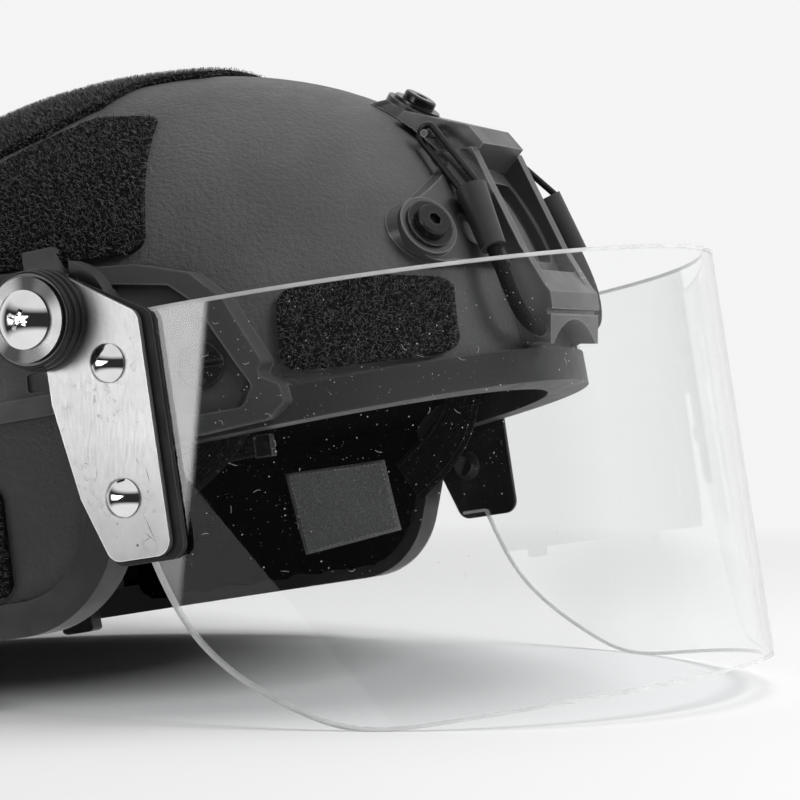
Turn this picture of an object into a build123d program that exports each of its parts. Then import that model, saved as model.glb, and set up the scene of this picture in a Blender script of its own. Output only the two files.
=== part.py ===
from build123d import *
import os
from math import asin, atan2, cos, degrees, pi, radians, sin, sqrt, tan

os.makedirs("parts", exist_ok=True)

# The helmet is drawn upright, as it sits on a head: X to the wearer's left, Y to the back, Z up,
# with the origin on the middle plane where the shell is widest. At the end every piece is tilted
# back together, so that the helmet stands on its nape and on the lower edge of the face shield.

# Shell: a dome of revolution stretched to the front and to the back, with a slightly flared skirt
shell_half_width = 122.5
shell_front_reach = 151.0
shell_rear_reach = 132.0
crown_height = 124.6
crown_fullness = 2.26
shell_wall = 8.5
skirt_depth = 78.0
skirt_flare = 3.1
dome_step_count = 6
halving_count = 40
tilt_limit = 30.0
plane_tolerance_share = 0.0001

# Rim of the shell in side view, measured on the lowest line of its rubber trim
brim_front_z = -3.5
brim_back_z = -10.0
ear_front_top_y = -56.0
ear_front_low_y = -34.0
ear_z = -61.0
nape_z = -62.0
brim_corner_radius = 14.0
ear_corner_radius = 34.0
trim_wall = 2.2
trim_height = 11.0

# Gaps and general allowances
seat_gap = 0.2
running_gap = 0.3
hole_clearance = 0.1
overrun = 40.0

# Hook-and-loop panels glued to the shell
loop_thickness = 1.9
loop_corner_radius = 5.0
side_loop_outlines = [
    ("side_loop_right", [(-54, 101), (-62, 53), (58, 57.5), (58, 88), (2, 92.5), (-33, 104.5)]),
    ("front_loop_right", [(-99, 34.5), (-99, 9), (-112, 8), (-139, 8.5), (-138, 33), (-123, 36)]),
    ("ear_loop_right", [(-7.5, -13), (-7.5, -48), (48, -48), (48, -13)]),
]
crown_loop_half = [(28, -50), (45, -34), (66, -30), (80, -16), (86, 4), (76, 45), (48, 72)]
rear_loop_half_width = 38.0
rear_loop_low_z = -12.0
rear_loop_high_z = 40.0

# Side rails
rail_front_y = -101.0
rail_rear_y = 70.0
rail_low_z = -7.5
rail_top_z = 54.0
rail_floor = 4.6
rail_height = 7.0
rail_lip = 1.4
rail_lip_height = 1.2
rail_notch_count = 5
rail_notch_pitch = 16.0
rail_notch_width = 8.0
rail_notch_height = 6.0
rail_notch_depth = 1.4
rail_notch_round = 1.2
rail_notch_first_y = -28.0
rail_notch_z = 17.0
rail_corner_radius = 2.0
rail_outline_share = [
    (0.03, 0.03), (0.146, 0.0), (0.30, 0.163), (0.37, 0.22), (0.92, 0.22), (1.0, 0.41), (0.94, 0.93),
    (0.87, 1.0), (0.497, 0.99), (0.228, 0.915), (0.135, 0.83), (0.078, 0.663), (0.026, 0.325),
    (0.038, 0.262), (0.004, 0.2), (0.0, 0.106),
]

rail_channel_outline = [
    (-93, 5.6), (-90, -0.6), (-77, -1.2), (-52, 8), (-40, 12.6), (53, 12.6), (60.5, 19), (60.5, 25),
    (50, 47.2), (-16, 47.2), (-44, 45.6), (-72, 40.5), (-80, 33),
]

# Screws that hold the rails, and the studs inside that they share with the straps
rail_screw_places = [(-79.0, 14.0), (50.0, 28.0)]
rail_screw_head_radius = 7.2
rail_screw_head_height = 1.9
rail_screw_slot_width = 1.6
rail_screw_slot_depth = 1.1
rail_screw_round = 0.6
screw_radius = 2.5
stud_post_radius = 4.0
stud_flange_radius = 6.0
stud_flange_height = 1.2
stud_gap = 0.7

# Face shield: a sheet bent to half an ellipse
lens_side_gap = 4.35
lens_wall = 3.0
lens_face_space = 54.1
lens_rear_y = -52.0
lens_top_z = 33.0
lens_bottom_z = -104.7
lens_tab_z = -42.0
lens_tab_front_y = -61.5
lens_contact_y = -137.0
lens_corner_share = [(0.165, 0.46), (0.53, 0.853)]
lens_corner_start = (-0.3, -1)

# Pivot of the face shield and its side plates
pivot_y = -38.0
pivot_z = 35.0
gasket_wall = 0.8
gasket_reveal = 3.6
gasket_foot = 1.6
gasket_facet_count = 4
gasket_facet_length = 7.0
plate_wall = 2.0
plate_head_radius = 15.0
plate_front_y = -71.2
plate_neck_y = -36.5
plate_neck_z = 8.7
plate_heel_y = -42.1
plate_heel_z = -21.6
plate_foot_y = -50.0
plate_low_z = -42.3
plate_corner_z = 31.9
plate_corner_radius = 5.0
rivet_places = [(-58.4, 18.2), (-57.1, -23.2)]
rivet_head_radius = 6.1
rivet_head_height = 3.6
rivet_head_round = 2.6
rivet_tail_radius = 3.6
rivet_tail_height = 1.2
rivet_washer_radius = 5.4
rivet_washer_wall = 0.9
ring_radius = 16.0
ring_step = 0.45
ring_wall = 3.0
ring_count = 3
ring_edge_softness = 0.9
pivot_washer_radius = 13.3
pivot_washer_wall = 1.3
pivot_head_radius = 9.1
pivot_head_height = 4.4
pivot_head_round = 2.6
pivot_screw_radius = 3.0
cross_slot_length = 8.4
cross_slot_width = 1.7
cross_slot_depth = 2.0

# Adapter that carries the pivot on the rail, and its release tab
adapter_front_y = -50.0
adapter_rear_y = -19.0
adapter_low_z = 18.0
adapter_high_z = 42.0
adapter_outer_x = 125.0
adapter_collar_radius = 19.0
adapter_collar_base = 112.0
adapter_wall = 0.6
adapter_boss_radius = 10.0
adapter_corner_radius = 3.0
tab_pin_x = 124.3
tab_pin_z = 47.2
tab_pin_radius = 0.9
tab_barrel_radius = 1.6
tab_front_y = -44.5
tab_top_front_y = -39.0
tab_rear_y = -28.5
tab_top_z = 58.0
tab_wall = 1.8
tab_outer_x = 125.3
tab_lip = 2.2
lug_width = 2.6
lug_top_z = 49.2
lug_round = 0.8

# Shroud for a night-vision mount on the forehead
shroud_plate = 3.2
shroud_half_width = 21.5
shroud_low_z = 8.0
shroud_corner_radius = 2.0
shroud_sheet_half = [(21.5, 8), (21.5, 37), (47, 38.4), (50, 58.8), (23, 72), (10.5, 86), (10.5, 101)]
wing_half_width = 49.0
wing_z = 48.6
wing_radius = 10.5
wing_boss = 5.4
arm_top_y = -111.0
arm_half_width = 10.5
arm_wall = 5.0
bridge_half_width = 17.0
bridge_outline = [(-113, 92), (-117, 94.5), (-139.5, 85), (-144, 78), (-136, 71.5), (-126, 73.5), (-113, 80)]
rib_width = 5.0
rib_outline = [(-120, 24), (-161, 24), (-153, 42), (-141.3, 77), (-120, 77)]
nose_outline = [(-120, 8), (-158.5, 8), (-160, 17), (-161, 20), (-161, 25), (-156, 33), (-120, 33)]
nose_front_y = -161.0
nose_groove_z = 18.4
nose_groove_width = 1.6
nose_groove_depth = 2.2
nose_arch_radius = 27.0
nose_arch_rise = 8.0
window_half_width = 12.5
window_low_z = 37.0
window_high_z = 66.0
window_radius = 3.0
wing_slot_in_x = 25.0
wing_slot_out_x = 37.0
wing_slot_low_z = 43.5
wing_slot_high_z = 54.0
shroud_bolt_radius = 5.8
shroud_bolt_height = 2.8
shroud_bolt_socket = 2.3
shroud_bolt_socket_depth = 1.8
bolt_head_round = 0.9
bolt_end_wall = 0.8
hex_side_count = 6
shroud_washer_radius = 8.4
shroud_washer_wall = 1.1

# Elastic cord lanyards on the shroud: hook, sleeve and cord
hook_top_x = 23.5
hook_top_y = -127.0
sleeve_top_x = 32.5
sleeve_top_y = -143.5
sleeve_top_z = 62.0
sleeve_low_x = 36.5
sleeve_low_y = -150.0
sleeve_low_z = 41.0
hook_wire_radius = 1.15
hook_half_gap = 3.1
hook_peg_radius = 1.3
hook_peg_z = 84.0
hook_peg_end = 2.6
hook_sink = 2.0
sleeve_top_radius = 5.3
sleeve_low_radius = 4.3
lanyard_radius = 2.3
lanyard_sink = 1.0
lanyard_points = [(-37.8, -152.3, 32.6), (-36.6, -154.2, 22.6), (-30.4, -155.3, 14.8)]
lanyard_end_y = -155.4
lanyard_end_z = 13.2
lanyard_run_share = 0.45

# Pads, liner and straps inside
pad_gap = 0.25
ear_liner_thickness = 5.0
liner_front_y = -50.0
liner_rear_y = 76.0
liner_low_z = -59.5
liner_high_z = -2.0
pad_thickness = 15.0
pad_crown = 3.0
pad_draw = 4.0
pad_corner_radius = 8.0
side_pad_boxes = [((-60, 4), (-16, 58)), ((-9, 4), (34, 58))]
front_pad_half_width = 45.0
front_pad_low_z = 9.0
front_pad_high_z = 48.0
rear_pad_half_width = 40.0
rear_pad_low_z = -25.0
rear_pad_high_z = 18.0
crown_pad_radius = 46.0
label_thickness = 0.5
label_outline = [(13.4, -15.5), (-30.9, -16.3), (-33.5, -44.3), (10.1, -48.5)]
strap_thickness = 1.6
strap_width = 18.0
strap_lines = [
    ("front_strap_right", [(-79, 22), (-79, 10), (-68, -11), (-41, -26.5)]),
    ("rear_strap_right", [(45, 36), (73, 2), (83, -20), (90, -50)]),
]
tail_line = [(-80, -12.4), (-62, -13.5), (-40, -23)]
tail_width = 6.0
clip_length = 4.5
clip_wall = 0.6
slider_y = 92.0
slider_low_z = -66.0
slider_height = 15.0
slider_length = 8.0
slider_round = 1.5
slider_back_share = 1.35
slider_thickness = 4.4
chin_band_low_z = -48.0
chin_band_high_z = -32.0
chin_band_arc = 44.0
cup_half_width = 34.0
cup_low_z = -52.0
cup_high_z = -27.0
cup_thickness = 7.0
buckle_y = 86.0
buckle_seat = 1.2
buckle_length = 26.0
buckle_height = 21.0
buckle_thickness = 6.0
buckle_split = 0.3

# Values worked out from the sizes above
side_reach = shell_half_width + overrun
plane_tolerance = plane_tolerance_share * shell_wall
shell_half_length = (shell_front_reach + shell_rear_reach) / 2
shell_middle_y = (shell_rear_reach - shell_front_reach) / 2
stretch = shell_half_length / shell_half_width
brim_slope = (brim_back_z - brim_front_z) / (shell_front_reach + ear_front_top_y)
inner_face = -shell_wall
trim_inner_face = inner_face - trim_wall
pad_back = inner_face - pad_gap
liner_face = pad_back - ear_liner_thickness
strap_back = liner_face - running_gap
strap_face = strap_back - strap_thickness
pad_face = pad_back - pad_thickness
over_back = strap_face - running_gap
over_face = over_back - strap_thickness
cup_back = over_face - running_gap
slider_back = slider_back_share * inner_face
slider_face = slider_back - slider_thickness
lens_inner_half_width = shell_half_width + lens_side_gap
lens_half_width = lens_inner_half_width + lens_wall
lens_depth = shell_front_reach + lens_face_space + lens_rear_y
plate_inner_x = lens_half_width + gasket_wall
plate_outer_x = plate_inner_x + plate_wall
stack_x = plate_outer_x + seat_gap


def spread(low, high, shares):
    """Points given as shares of the box between two corners."""
    return [(low[0] + (high[0] - low[0]) * u, low[1] + (high[1] - low[1]) * v) for u, v in shares]


def dome_radius(z, growth):
    """Half width of the helmet's form at a height, grown all round by a distance."""
    radius = shell_half_width + growth
    if z > 0:
        return radius * (1 - (z / (crown_height + growth)) ** crown_fullness) ** (1 / crown_fullness)
    return radius + skirt_flare * (z / skirt_depth) ** 2


def dome_profile(growth):
    """Points of the form's profile, from the foot of the skirt to the crown."""
    skirt = [(dome_radius(-skirt_depth * k / 2, growth), -skirt_depth * k / 2) for k in (2, 1)]
    arc = []
    for step in range(dome_step_count):
        angle = radians(90 * step / dome_step_count)
        arc.append(((shell_half_width + growth) * cos(angle) ** (2 / crown_fullness),
                    (crown_height + growth) * sin(angle) ** (2 / crown_fullness)))
    return skirt + arc + [(0, crown_height + growth)]


def dome_layer(low, high):
    """Right half of the layer between two growths of the helmet's form; low None fills it."""
    lean = (-2 * skirt_flare / skirt_depth, 1)
    with BuildPart() as turned:
        with BuildSketch(Plane.YZ):
            with BuildLine():
                outer = Spline(*dome_profile(high), tangents=[lean, (-1, 0)])
                if low is None:
                    Polyline(outer @ 1, (0, -skirt_depth), outer @ 0)
                else:
                    inner = Spline(*dome_profile(low), tangents=[lean, (-1, 0)])
                    Line(outer @ 1, inner @ 1)
                    Line(inner @ 0, outer @ 0)
            make_face()
        revolve(axis=Axis.Z, revolution_arc=180)
    stretched = scale(turned.part, by=(1, stretch, 1))
    return stretched.moved(Location((0, shell_middle_y, 0)))


def within(layer, body):
    """What a solid cuts out of a layer."""
    with BuildPart() as piece:
        add(body)
        add(layer, mode=Mode.INTERSECT)
    return piece.part


def outline(plane, points, radius):
    """Closed outline with rounded corners on a plane."""
    with BuildSketch(plane) as shape:
        with BuildLine():
            Polyline(*points, close=True)
        make_face()
        if radius:
            fillet(shape.vertices(), radius)
    return shape.sketch


def prism(sketch, amount, taper=0, both=False):
    """Straight prism on a sketch."""
    with BuildPart() as body:
        extrude(sketch, amount=amount, taper=taper, both=both)
    return body.part


def right_prism(points, radius=0, taper=0):
    """Prism of a side-view outline, from the middle plane out past the wearer's right side."""
    return prism(outline(Plane.YZ, points, radius), -side_reach, taper)


def grown(sketch, amount):
    """An outline grown or shrunk square to its edge."""
    with BuildSketch(Plane.YZ) as shape:
        add(sketch.moved(Location(Plane.YZ).inverse()))
        offset(amount=amount)
    return shape.sketch


def skin_plane(growth, x=None, y=None, z=0.0):
    """Plane on the grown form with its normal pointing out; give z and either x or y."""
    radius = dome_radius(z, growth)
    if y is None:
        drawn_y = -sqrt(radius ** 2 - x ** 2)
    else:
        drawn_y = (y - shell_middle_y) / stretch
        x = -sqrt(radius ** 2 - drawn_y ** 2)
    height = crown_height + growth
    if z > 0:
        u = z / height
        slope = (shell_half_width + growth) / height * u ** (crown_fullness - 1)
        slope = slope * (1 - u ** crown_fullness) ** (1 / crown_fullness - 1)
    else:
        slope = -2 * skirt_flare * z / skirt_depth ** 2
    origin = (x, shell_middle_y + drawn_y * stretch, z)
    return Plane(origin=origin, z_dir=(x / radius, drawn_y / (stretch * radius), slope))


def height_of(growth, plane):
    """Height over a plane, along its normal, at which the grown form is met."""
    low, high = -overrun, overrun
    for step in range(halving_count):
        middle = (low + high) / 2
        spot = plane.origin + plane.z_dir * middle
        reach = sqrt(spot.X ** 2 + ((spot.Y - shell_middle_y) / stretch) ** 2)
        if spot.Z < crown_height + growth and reach < dome_radius(spot.Z, growth):
            low = middle
        else:
            high = middle
    return low


def rod(plane, radius, low, high):
    """Round bar along a plane's normal, from one height above the plane to another."""
    with BuildPart() as bar:
        with BuildSketch(plane.offset(low)):
            Circle(radius)
        extrude(amount=high - low)
    return bar.part


def rim_region(rise):
    """Side view of everything above the rim, raised by a distance square to the rim's line."""
    front_end = shell_front_reach + overrun
    top = crown_height + overrun
    points = [
        (-front_end, brim_front_z - brim_slope * overrun),
        (ear_front_top_y, brim_back_z),
        (ear_front_low_y, ear_z),
        (shell_rear_reach + overrun, nape_z),
        (shell_rear_reach + overrun, top),
        (-front_end, top),
    ]
    with BuildSketch(Plane.YZ) as region:
        with BuildLine():
            Polyline(*points, close=True)
        make_face()
        fillet(region.vertices().sort_by_distance(points[1])[0], brim_corner_radius)
        fillet(region.vertices().sort_by_distance(points[2])[0], ear_corner_radius)
        if rise:
            offset(amount=-rise)
    return region.sketch


def mirrored(right):
    """The wearer's left twin of a right-hand piece."""
    with BuildPart() as left:
        mirror(right.part, about=Plane.YZ)
    return left


def both_sides(right):
    """A right-hand solid and its twin on the wearer's left."""
    return [right, mirror(right, about=Plane.YZ)]


def whole(right):
    """A right half and its mirror image, made one solid at the middle plane."""
    kept = [face for face in right.faces() if abs(face.center().X) > plane_tolerance]
    return Solid(Shell(kept + [mirror(face, about=Plane.YZ) for face in kept]))


def strip(points, width):
    """Side-view band of even width along a line of points."""
    with BuildSketch(Plane.YZ) as band:
        with BuildLine():
            Polyline(*points)
        trace(line_width=width)
    return band.sketch


def rectangle(plane, low, high, radius):
    """Rectangle with rounded corners between two corner points on a plane."""
    with BuildSketch(plane) as shape:
        with Locations(((low[0] + high[0]) / 2, (low[1] + high[1]) / 2)):
            RectangleRounded(high[0] - low[0], high[1] - low[1], radius)
    return shape.sketch


def slab(points, inner, outer):
    """Solid of a side-view outline on the wearer's right, between two distances from the middle."""
    return prism(outline(Plane.YZ.offset(-inner), points, 0), inner - outer)


def tube(path, radius):
    """Round wire or cord along a path."""
    with BuildPart() as body:
        with BuildSketch(Plane(path @ 0, z_dir=path % 0)):
            Circle(radius)
        sweep(path=path)
    return body.part


# Prisms of the rim that several pieces share
rim_prism = prism(rim_region(0), side_reach, both=True)
shell_prism = prism(rim_region(trim_wall), side_reach, both=True)
trim_top_prism = prism(rim_region(trim_height), side_reach, both=True)
channel_prism = prism(rim_region(trim_wall - seat_gap), side_reach, both=True)
above_trim_prism = prism(rim_region(trim_height + running_gap), side_reach, both=True)

# Planes of the fasteners
rail_screw_planes = [skin_plane(rail_floor, y=y, z=z) for y, z in rail_screw_places]
wing_plane = skin_plane(0, x=-wing_half_width, z=wing_z)
arm_share = (shell_middle_y - arm_top_y) / shell_half_length
arm_z = crown_height * (1 - arm_share ** crown_fullness) ** (1 / crown_fullness)
arm_plane = skin_plane(0, x=0, z=arm_z)
pivot_plane = Plane(origin=(0, pivot_y, pivot_z), x_dir=(0, 1, 0), z_dir=(-1, 0, 0))

# Bores through the shell and what lies on it, for the rail screws and the shroud bolts
bore_radius = screw_radius + hole_clearance
rail_bores = [rod(plane, bore_radius, -overrun, overrun) for plane in rail_screw_planes]
shroud_bores = [rod(plane, bore_radius, -overrun, overrun) for plane in (wing_plane, arm_plane)]

# Ballistic shell
shell_layer = dome_layer(inner_face, 0)
with BuildPart() as shell_half:
    add(shell_layer)
    add(shell_prism, mode=Mode.INTERSECT)
    add(rail_bores + shroud_bores, mode=Mode.SUBTRACT)
with BuildPart() as shell:
    add(whole(shell_half.part))
shell.part.label = "shell"

# Rubber edge trim: a channel pushed over the rim
trim_channel = within(dome_layer(inner_face - seat_gap, seat_gap), channel_prism)
trim_layer = dome_layer(trim_inner_face, trim_wall)
with BuildPart() as trim_half:
    add(trim_layer)
    add(rim_prism, mode=Mode.INTERSECT)
    add(trim_top_prism, mode=Mode.SUBTRACT)
    add(trim_channel, mode=Mode.SUBTRACT)
with BuildPart() as edge_trim:
    add(whole(trim_half.part))
edge_trim.part.label = "edge_trim"

# Room that anything inside or outside the rim leaves for the trim
trim_room = within(dome_layer(trim_inner_face - running_gap, trim_wall + running_gap), rim_prism)
with BuildPart() as trim_space:
    add(trim_room)
    add(above_trim_prism, mode=Mode.SUBTRACT)

right_pieces = []
middle_pieces = [shell, edge_trim]

# Hook-and-loop panels on the right side: above the rail, at the temple and on the ear flap
loop_layer = dome_layer(seat_gap, seat_gap + loop_thickness)
for label, points in side_loop_outlines:
    panel = within(loop_layer, right_prism(points, loop_corner_radius))
    with BuildPart() as loop_panel:
        add(panel)
    loop_panel.part.label = label
    right_pieces.append(loop_panel)

# Hook-and-loop panels on the crown and at the back
crown_points = crown_loop_half + [(-x, y) for x, y in reversed(crown_loop_half)]
crown_outline = outline(Plane.XY, crown_points, loop_corner_radius)
crown_panel = within(loop_layer, prism(crown_outline, crown_height + overrun))
with BuildPart() as crown_loop:
    add(whole(crown_panel))
crown_loop.part.label = "crown_loop"
rear_outline = rectangle(Plane.XZ, (-rear_loop_half_width, rear_loop_low_z),
                         (rear_loop_half_width, rear_loop_high_z), loop_corner_radius)
rear_panel = within(loop_layer, prism(rear_outline, -(shell_rear_reach + overrun)))
with BuildPart() as rear_loop:
    add(whole(rear_panel))
rear_loop.part.label = "rear_loop"
middle_pieces += [crown_loop, rear_loop]

# Side rail: a plate with a raised border whose lips overhang a sliding channel
rail_points = spread((rail_front_y, rail_low_z), (rail_rear_y, rail_top_z), rail_outline_share)
rail_side = outline(Plane.YZ, rail_points, rail_corner_radius)
rail_inside = outline(Plane.YZ, rail_channel_outline, rail_corner_radius)
rail_undercut = grown(rail_inside, rail_lip)
rail_notches = []
for step in range(rail_notch_count):
    notch_y = rail_notch_first_y + step * rail_notch_pitch
    foot = skin_plane(rail_floor - rail_notch_depth, y=notch_y, z=rail_notch_z)
    with BuildPart() as notch:
        with BuildSketch(Plane(origin=foot.origin, x_dir=(0, 1, 0), z_dir=foot.z_dir)):
            RectangleRounded(rail_notch_width, rail_notch_height, rail_notch_round)
        extrude(amount=rail_height)
    rail_notches.append(notch.part)
rail_solid = within(dome_layer(seat_gap, rail_height), prism(rail_side, -side_reach))
rail_channel = within(dome_layer(rail_floor, rail_height + rail_lip), prism(rail_inside, -side_reach))
rail_groove = within(dome_layer(rail_floor, rail_floor + rail_lip_height), prism(rail_undercut, -side_reach))
with BuildPart() as rail:
    add(rail_solid)
    add([rail_channel, rail_groove] + rail_notches, mode=Mode.SUBTRACT)
    add(trim_space.part, mode=Mode.SUBTRACT)
    add(rail_bores, mode=Mode.SUBTRACT)
rail.part.label = "rail_right"
right_pieces.append(rail)

# Slotted screws that hold the rails
rail_screw_solids = []
for plane in rail_screw_planes:
    shank_end = height_of(inner_face, plane)
    head_top = hole_clearance + rail_screw_head_height
    with BuildPart() as rail_screw:
        with BuildSketch(plane.offset(hole_clearance)):
            Circle(rail_screw_head_radius)
        extrude(amount=rail_screw_head_height)
        fillet(rail_screw.faces().sort_by(Axis(plane.origin, plane.z_dir))[-1].edges(), rail_screw_round)
        with BuildSketch(plane.offset(head_top)):
            Rectangle(overrun, rail_screw_slot_width)
        extrude(amount=-rail_screw_slot_depth, mode=Mode.SUBTRACT)
        with BuildSketch(plane.offset(hole_clearance)):
            Circle(screw_radius)
        extrude(amount=shank_end - hole_clearance)
    rail_screw_solids += both_sides(rail_screw.part)
with BuildPart() as rail_screws:
    add(rail_screw_solids)
rail_screws.part.label = "rail_screws"

# Studs inside that carry the strap ends
stud_solids = []
for plane in rail_screw_planes:
    shell_height = height_of(inner_face, plane)
    strap_height = height_of(strap_back, plane)
    flange_height = height_of(strap_face, plane) - stud_gap
    with BuildPart() as stud:
        with BuildSketch(plane.offset(strap_height + seat_gap)):
            Circle(stud_post_radius)
        extrude(amount=shell_height - strap_height - seat_gap - stud_gap)
        with BuildSketch(plane.offset(flange_height)):
            Circle(screw_radius)
        extrude(amount=strap_height + seat_gap - flange_height)
        with BuildSketch(plane.offset(flange_height)):
            Circle(stud_flange_radius)
        extrude(amount=-stud_flange_height)
    stud_solids += both_sides(stud.part)
with BuildPart() as anchor_studs:
    add(stud_solids)
anchor_studs.part.label = "anchor_studs"
middle_pieces += [rail_screws, anchor_studs]

# Lanyard routes on the right side: hook loop, sleeve axis and cord
hook_top = Vector(-hook_top_x, hook_top_y, hook_peg_z)
sleeve_top = Vector(-sleeve_top_x, sleeve_top_y, sleeve_top_z)
sleeve_low = Vector(-sleeve_low_x, sleeve_low_y, sleeve_low_z)
hook_run = (sleeve_top - hook_top).length + hook_sink
hook_way = (sleeve_top - hook_top).normalized()
across = Vector(1, 0, 0)
hook_plane = Plane(origin=hook_top, x_dir=hook_way, z_dir=across - hook_way * across.dot(hook_way))
with BuildLine(hook_plane) as hook_path:
    Line((hook_run, hook_half_gap), (0, hook_half_gap))
    ThreePointArc((0, hook_half_gap), (-hook_half_gap, 0), (0, -hook_half_gap))
    Line((0, -hook_half_gap), (hook_run, -hook_half_gap))
sleeve_way = (sleeve_top - sleeve_low).normalized()
sleeve_length = (sleeve_top - sleeve_low).length
lanyard_start = sleeve_low + sleeve_way * lanyard_sink
lanyard_end = Vector(-shroud_half_width + lanyard_sink, lanyard_end_y, lanyard_end_z)
lanyard_route = [lanyard_start] + [Vector(*point) for point in lanyard_points] + [lanyard_end]
lanyard_radii = []
for before, corner, after in zip(lanyard_route, lanyard_route[1:], lanyard_route[2:]):
    turn = radians((corner - before).get_angle(after - corner))
    shorter = min((corner - before).length, (after - corner).length)
    lanyard_radii.append(lanyard_run_share * shorter / tan(turn / 2))
with BuildLine() as lanyard_path:
    FilletPolyline(*lanyard_route, radius=lanyard_radii)
print("lanyard cord radii", [round(radius, 1) for radius in lanyard_radii])

# Shroud: a sheet on the forehead with bosses, a nose block, two ribs and a bridge
shroud_points = shroud_sheet_half + [(-x, z) for x, z in reversed(shroud_sheet_half)]
with BuildSketch(Plane.XZ) as shroud_outline:
    add(outline(Plane.XY, shroud_points, shroud_corner_radius))
    with Locations((-wing_half_width, wing_z), (wing_half_width, wing_z)):
        Circle(wing_radius)
shroud_sheet = within(dome_layer(seat_gap, seat_gap + shroud_plate),
                      prism(shroud_outline.sketch, shell_front_reach + overrun))
shroud_core = dome_layer(None, seat_gap + shroud_plate / 2)
right_space = prism(rectangle(Plane.YZ, (-shell_front_reach - overrun, -skirt_depth),
                              (shell_rear_reach + overrun, crown_height + overrun), overrun / 2), -side_reach)
arm_block = within(right_space, rod(arm_plane, arm_half_width, 0, arm_wall))
peg_plane = Plane(origin=(0, hook_top_y, hook_peg_z), x_dir=(0, 1, 0), z_dir=(-1, 0, 0))
with BuildPart() as shroud_blocks:
    add(slab(nose_outline, 0, shroud_half_width))
    add(slab(rib_outline, shroud_half_width - rib_width, shroud_half_width))
    add(slab(bridge_outline, 0, bridge_half_width))
    add(arm_block)
    add(rod(wing_plane, wing_radius, 0, wing_boss))
    add(rod(peg_plane, hook_peg_radius, bridge_half_width - hook_peg_end, hook_top_x + hook_peg_end))
    add(shroud_core, mode=Mode.SUBTRACT)
window_cut = prism(rectangle(Plane.XZ, (-window_half_width, window_low_z), (window_half_width, window_high_z),
                             window_radius), shell_front_reach + overrun)
slot_cut = prism(rectangle(Plane.XZ, (-wing_slot_out_x, wing_slot_low_z), (-wing_slot_in_x, wing_slot_high_z),
                           window_radius), shell_front_reach + overrun)
with BuildSketch(Plane.XZ) as arch:
    with Locations((0, shroud_low_z + nose_arch_rise - nose_arch_radius)):
        Circle(nose_arch_radius)
arch_cut = prism(arch.sketch, shell_front_reach + overrun)
groove_cut = prism(rectangle(Plane.YZ, (nose_front_y - nose_groove_depth, nose_groove_z - nose_groove_width / 2),
                             (nose_front_y + nose_groove_depth, nose_groove_z + nose_groove_width / 2),
                             nose_groove_width / 4), shroud_half_width + overrun, both=True)
lanyard_bore = tube(lanyard_path.line, lanyard_radius + hole_clearance)
hook_room = tube(hook_path.line, hook_wire_radius + running_gap)
washer_rooms = [rod(plane, shroud_washer_radius + running_gap, seat, seat + shroud_washer_radius)
                for plane, seat in ((wing_plane, wing_boss), (arm_plane, arm_wall))]
with BuildPart() as shroud_half:
    add(shroud_sheet)
    add(shroud_blocks.part)
    add([window_cut, arch_cut, groove_cut, slot_cut] + shroud_bores, mode=Mode.SUBTRACT)
    add([lanyard_bore, hook_room] + washer_rooms, mode=Mode.SUBTRACT)
with BuildPart() as shroud_frame:
    add(whole(shroud_half.part))
shroud_frame.part.label = "shroud_frame"

# Bolts of the shroud, each with a washer, screwed into the wall of the shell
shroud_seats = [(wing_plane, wing_boss), (arm_plane, arm_wall)]
bolt_solids = []
washer_solids = []
for plane, seat in shroud_seats:
    washer_base = seat + hole_clearance
    head_base = washer_base + shroud_washer_wall + hole_clearance
    shank_end = height_of(inner_face + bolt_end_wall, plane)
    with BuildPart() as bolt:
        with BuildSketch(plane.offset(head_base)):
            Circle(shroud_bolt_radius)
        extrude(amount=shroud_bolt_height)
        fillet(bolt.faces().sort_by(Axis(plane.origin, plane.z_dir))[-1].edges(), bolt_head_round)
        with BuildSketch(plane.offset(head_base + shroud_bolt_height)):
            RegularPolygon(shroud_bolt_socket, hex_side_count)
        extrude(amount=-shroud_bolt_socket_depth, mode=Mode.SUBTRACT)
        with BuildSketch(plane.offset(head_base)):
            Circle(screw_radius)
        extrude(amount=shank_end - head_base)
    with BuildPart() as washer:
        with BuildSketch(plane.offset(washer_base)):
            Circle(shroud_washer_radius)
            Circle(bore_radius, mode=Mode.SUBTRACT)
        extrude(amount=shroud_washer_wall)
    if plane is wing_plane:
        bolt_solids += both_sides(bolt.part)
        washer_solids += both_sides(washer.part)
    else:
        bolt_solids.append(bolt.part)
        washer_solids.append(washer.part)
with BuildPart() as shroud_bolts:
    add(bolt_solids)
shroud_bolts.part.label = "shroud_bolts"
with BuildPart() as shroud_washers:
    add(washer_solids)
shroud_washers.part.label = "shroud_washers"
middle_pieces += [shroud_frame, shroud_bolts, shroud_washers]

# Elastic lanyard of the shroud: wire hook over a peg, sleeve, cord down to the nose block
hook_wire = tube(hook_path.line, hook_wire_radius)
hook_bore = tube(hook_path.line, hook_wire_radius + hole_clearance)
with BuildPart() as bungee_hook:
    add(hook_wire)
bungee_hook.part.label = "bungee_hook_right"
sleeve_plane = Plane(origin=sleeve_low, z_dir=sleeve_way)
with BuildPart() as cord_sleeve:
    with BuildSketch(sleeve_plane):
        Circle(sleeve_low_radius)
    with BuildSketch(sleeve_plane.offset(sleeve_length)):
        Circle(sleeve_top_radius)
    loft()
    add([hook_bore, lanyard_bore], mode=Mode.SUBTRACT)
cord_sleeve.part.label = "cord_sleeve_right"
cord_solid = tube(lanyard_path.line, lanyard_radius)
with BuildPart() as bungee_cord:
    add(cord_solid)
bungee_cord.part.label = "bungee_cord_right"
cord_volume = pi * lanyard_radius ** 2 * lanyard_path.wires()[0].length
print("lanyard cord volume against section times length", round(cord_solid.volume / cord_volume, 4))
right_pieces += [bungee_hook, cord_sleeve, bungee_cord]

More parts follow.
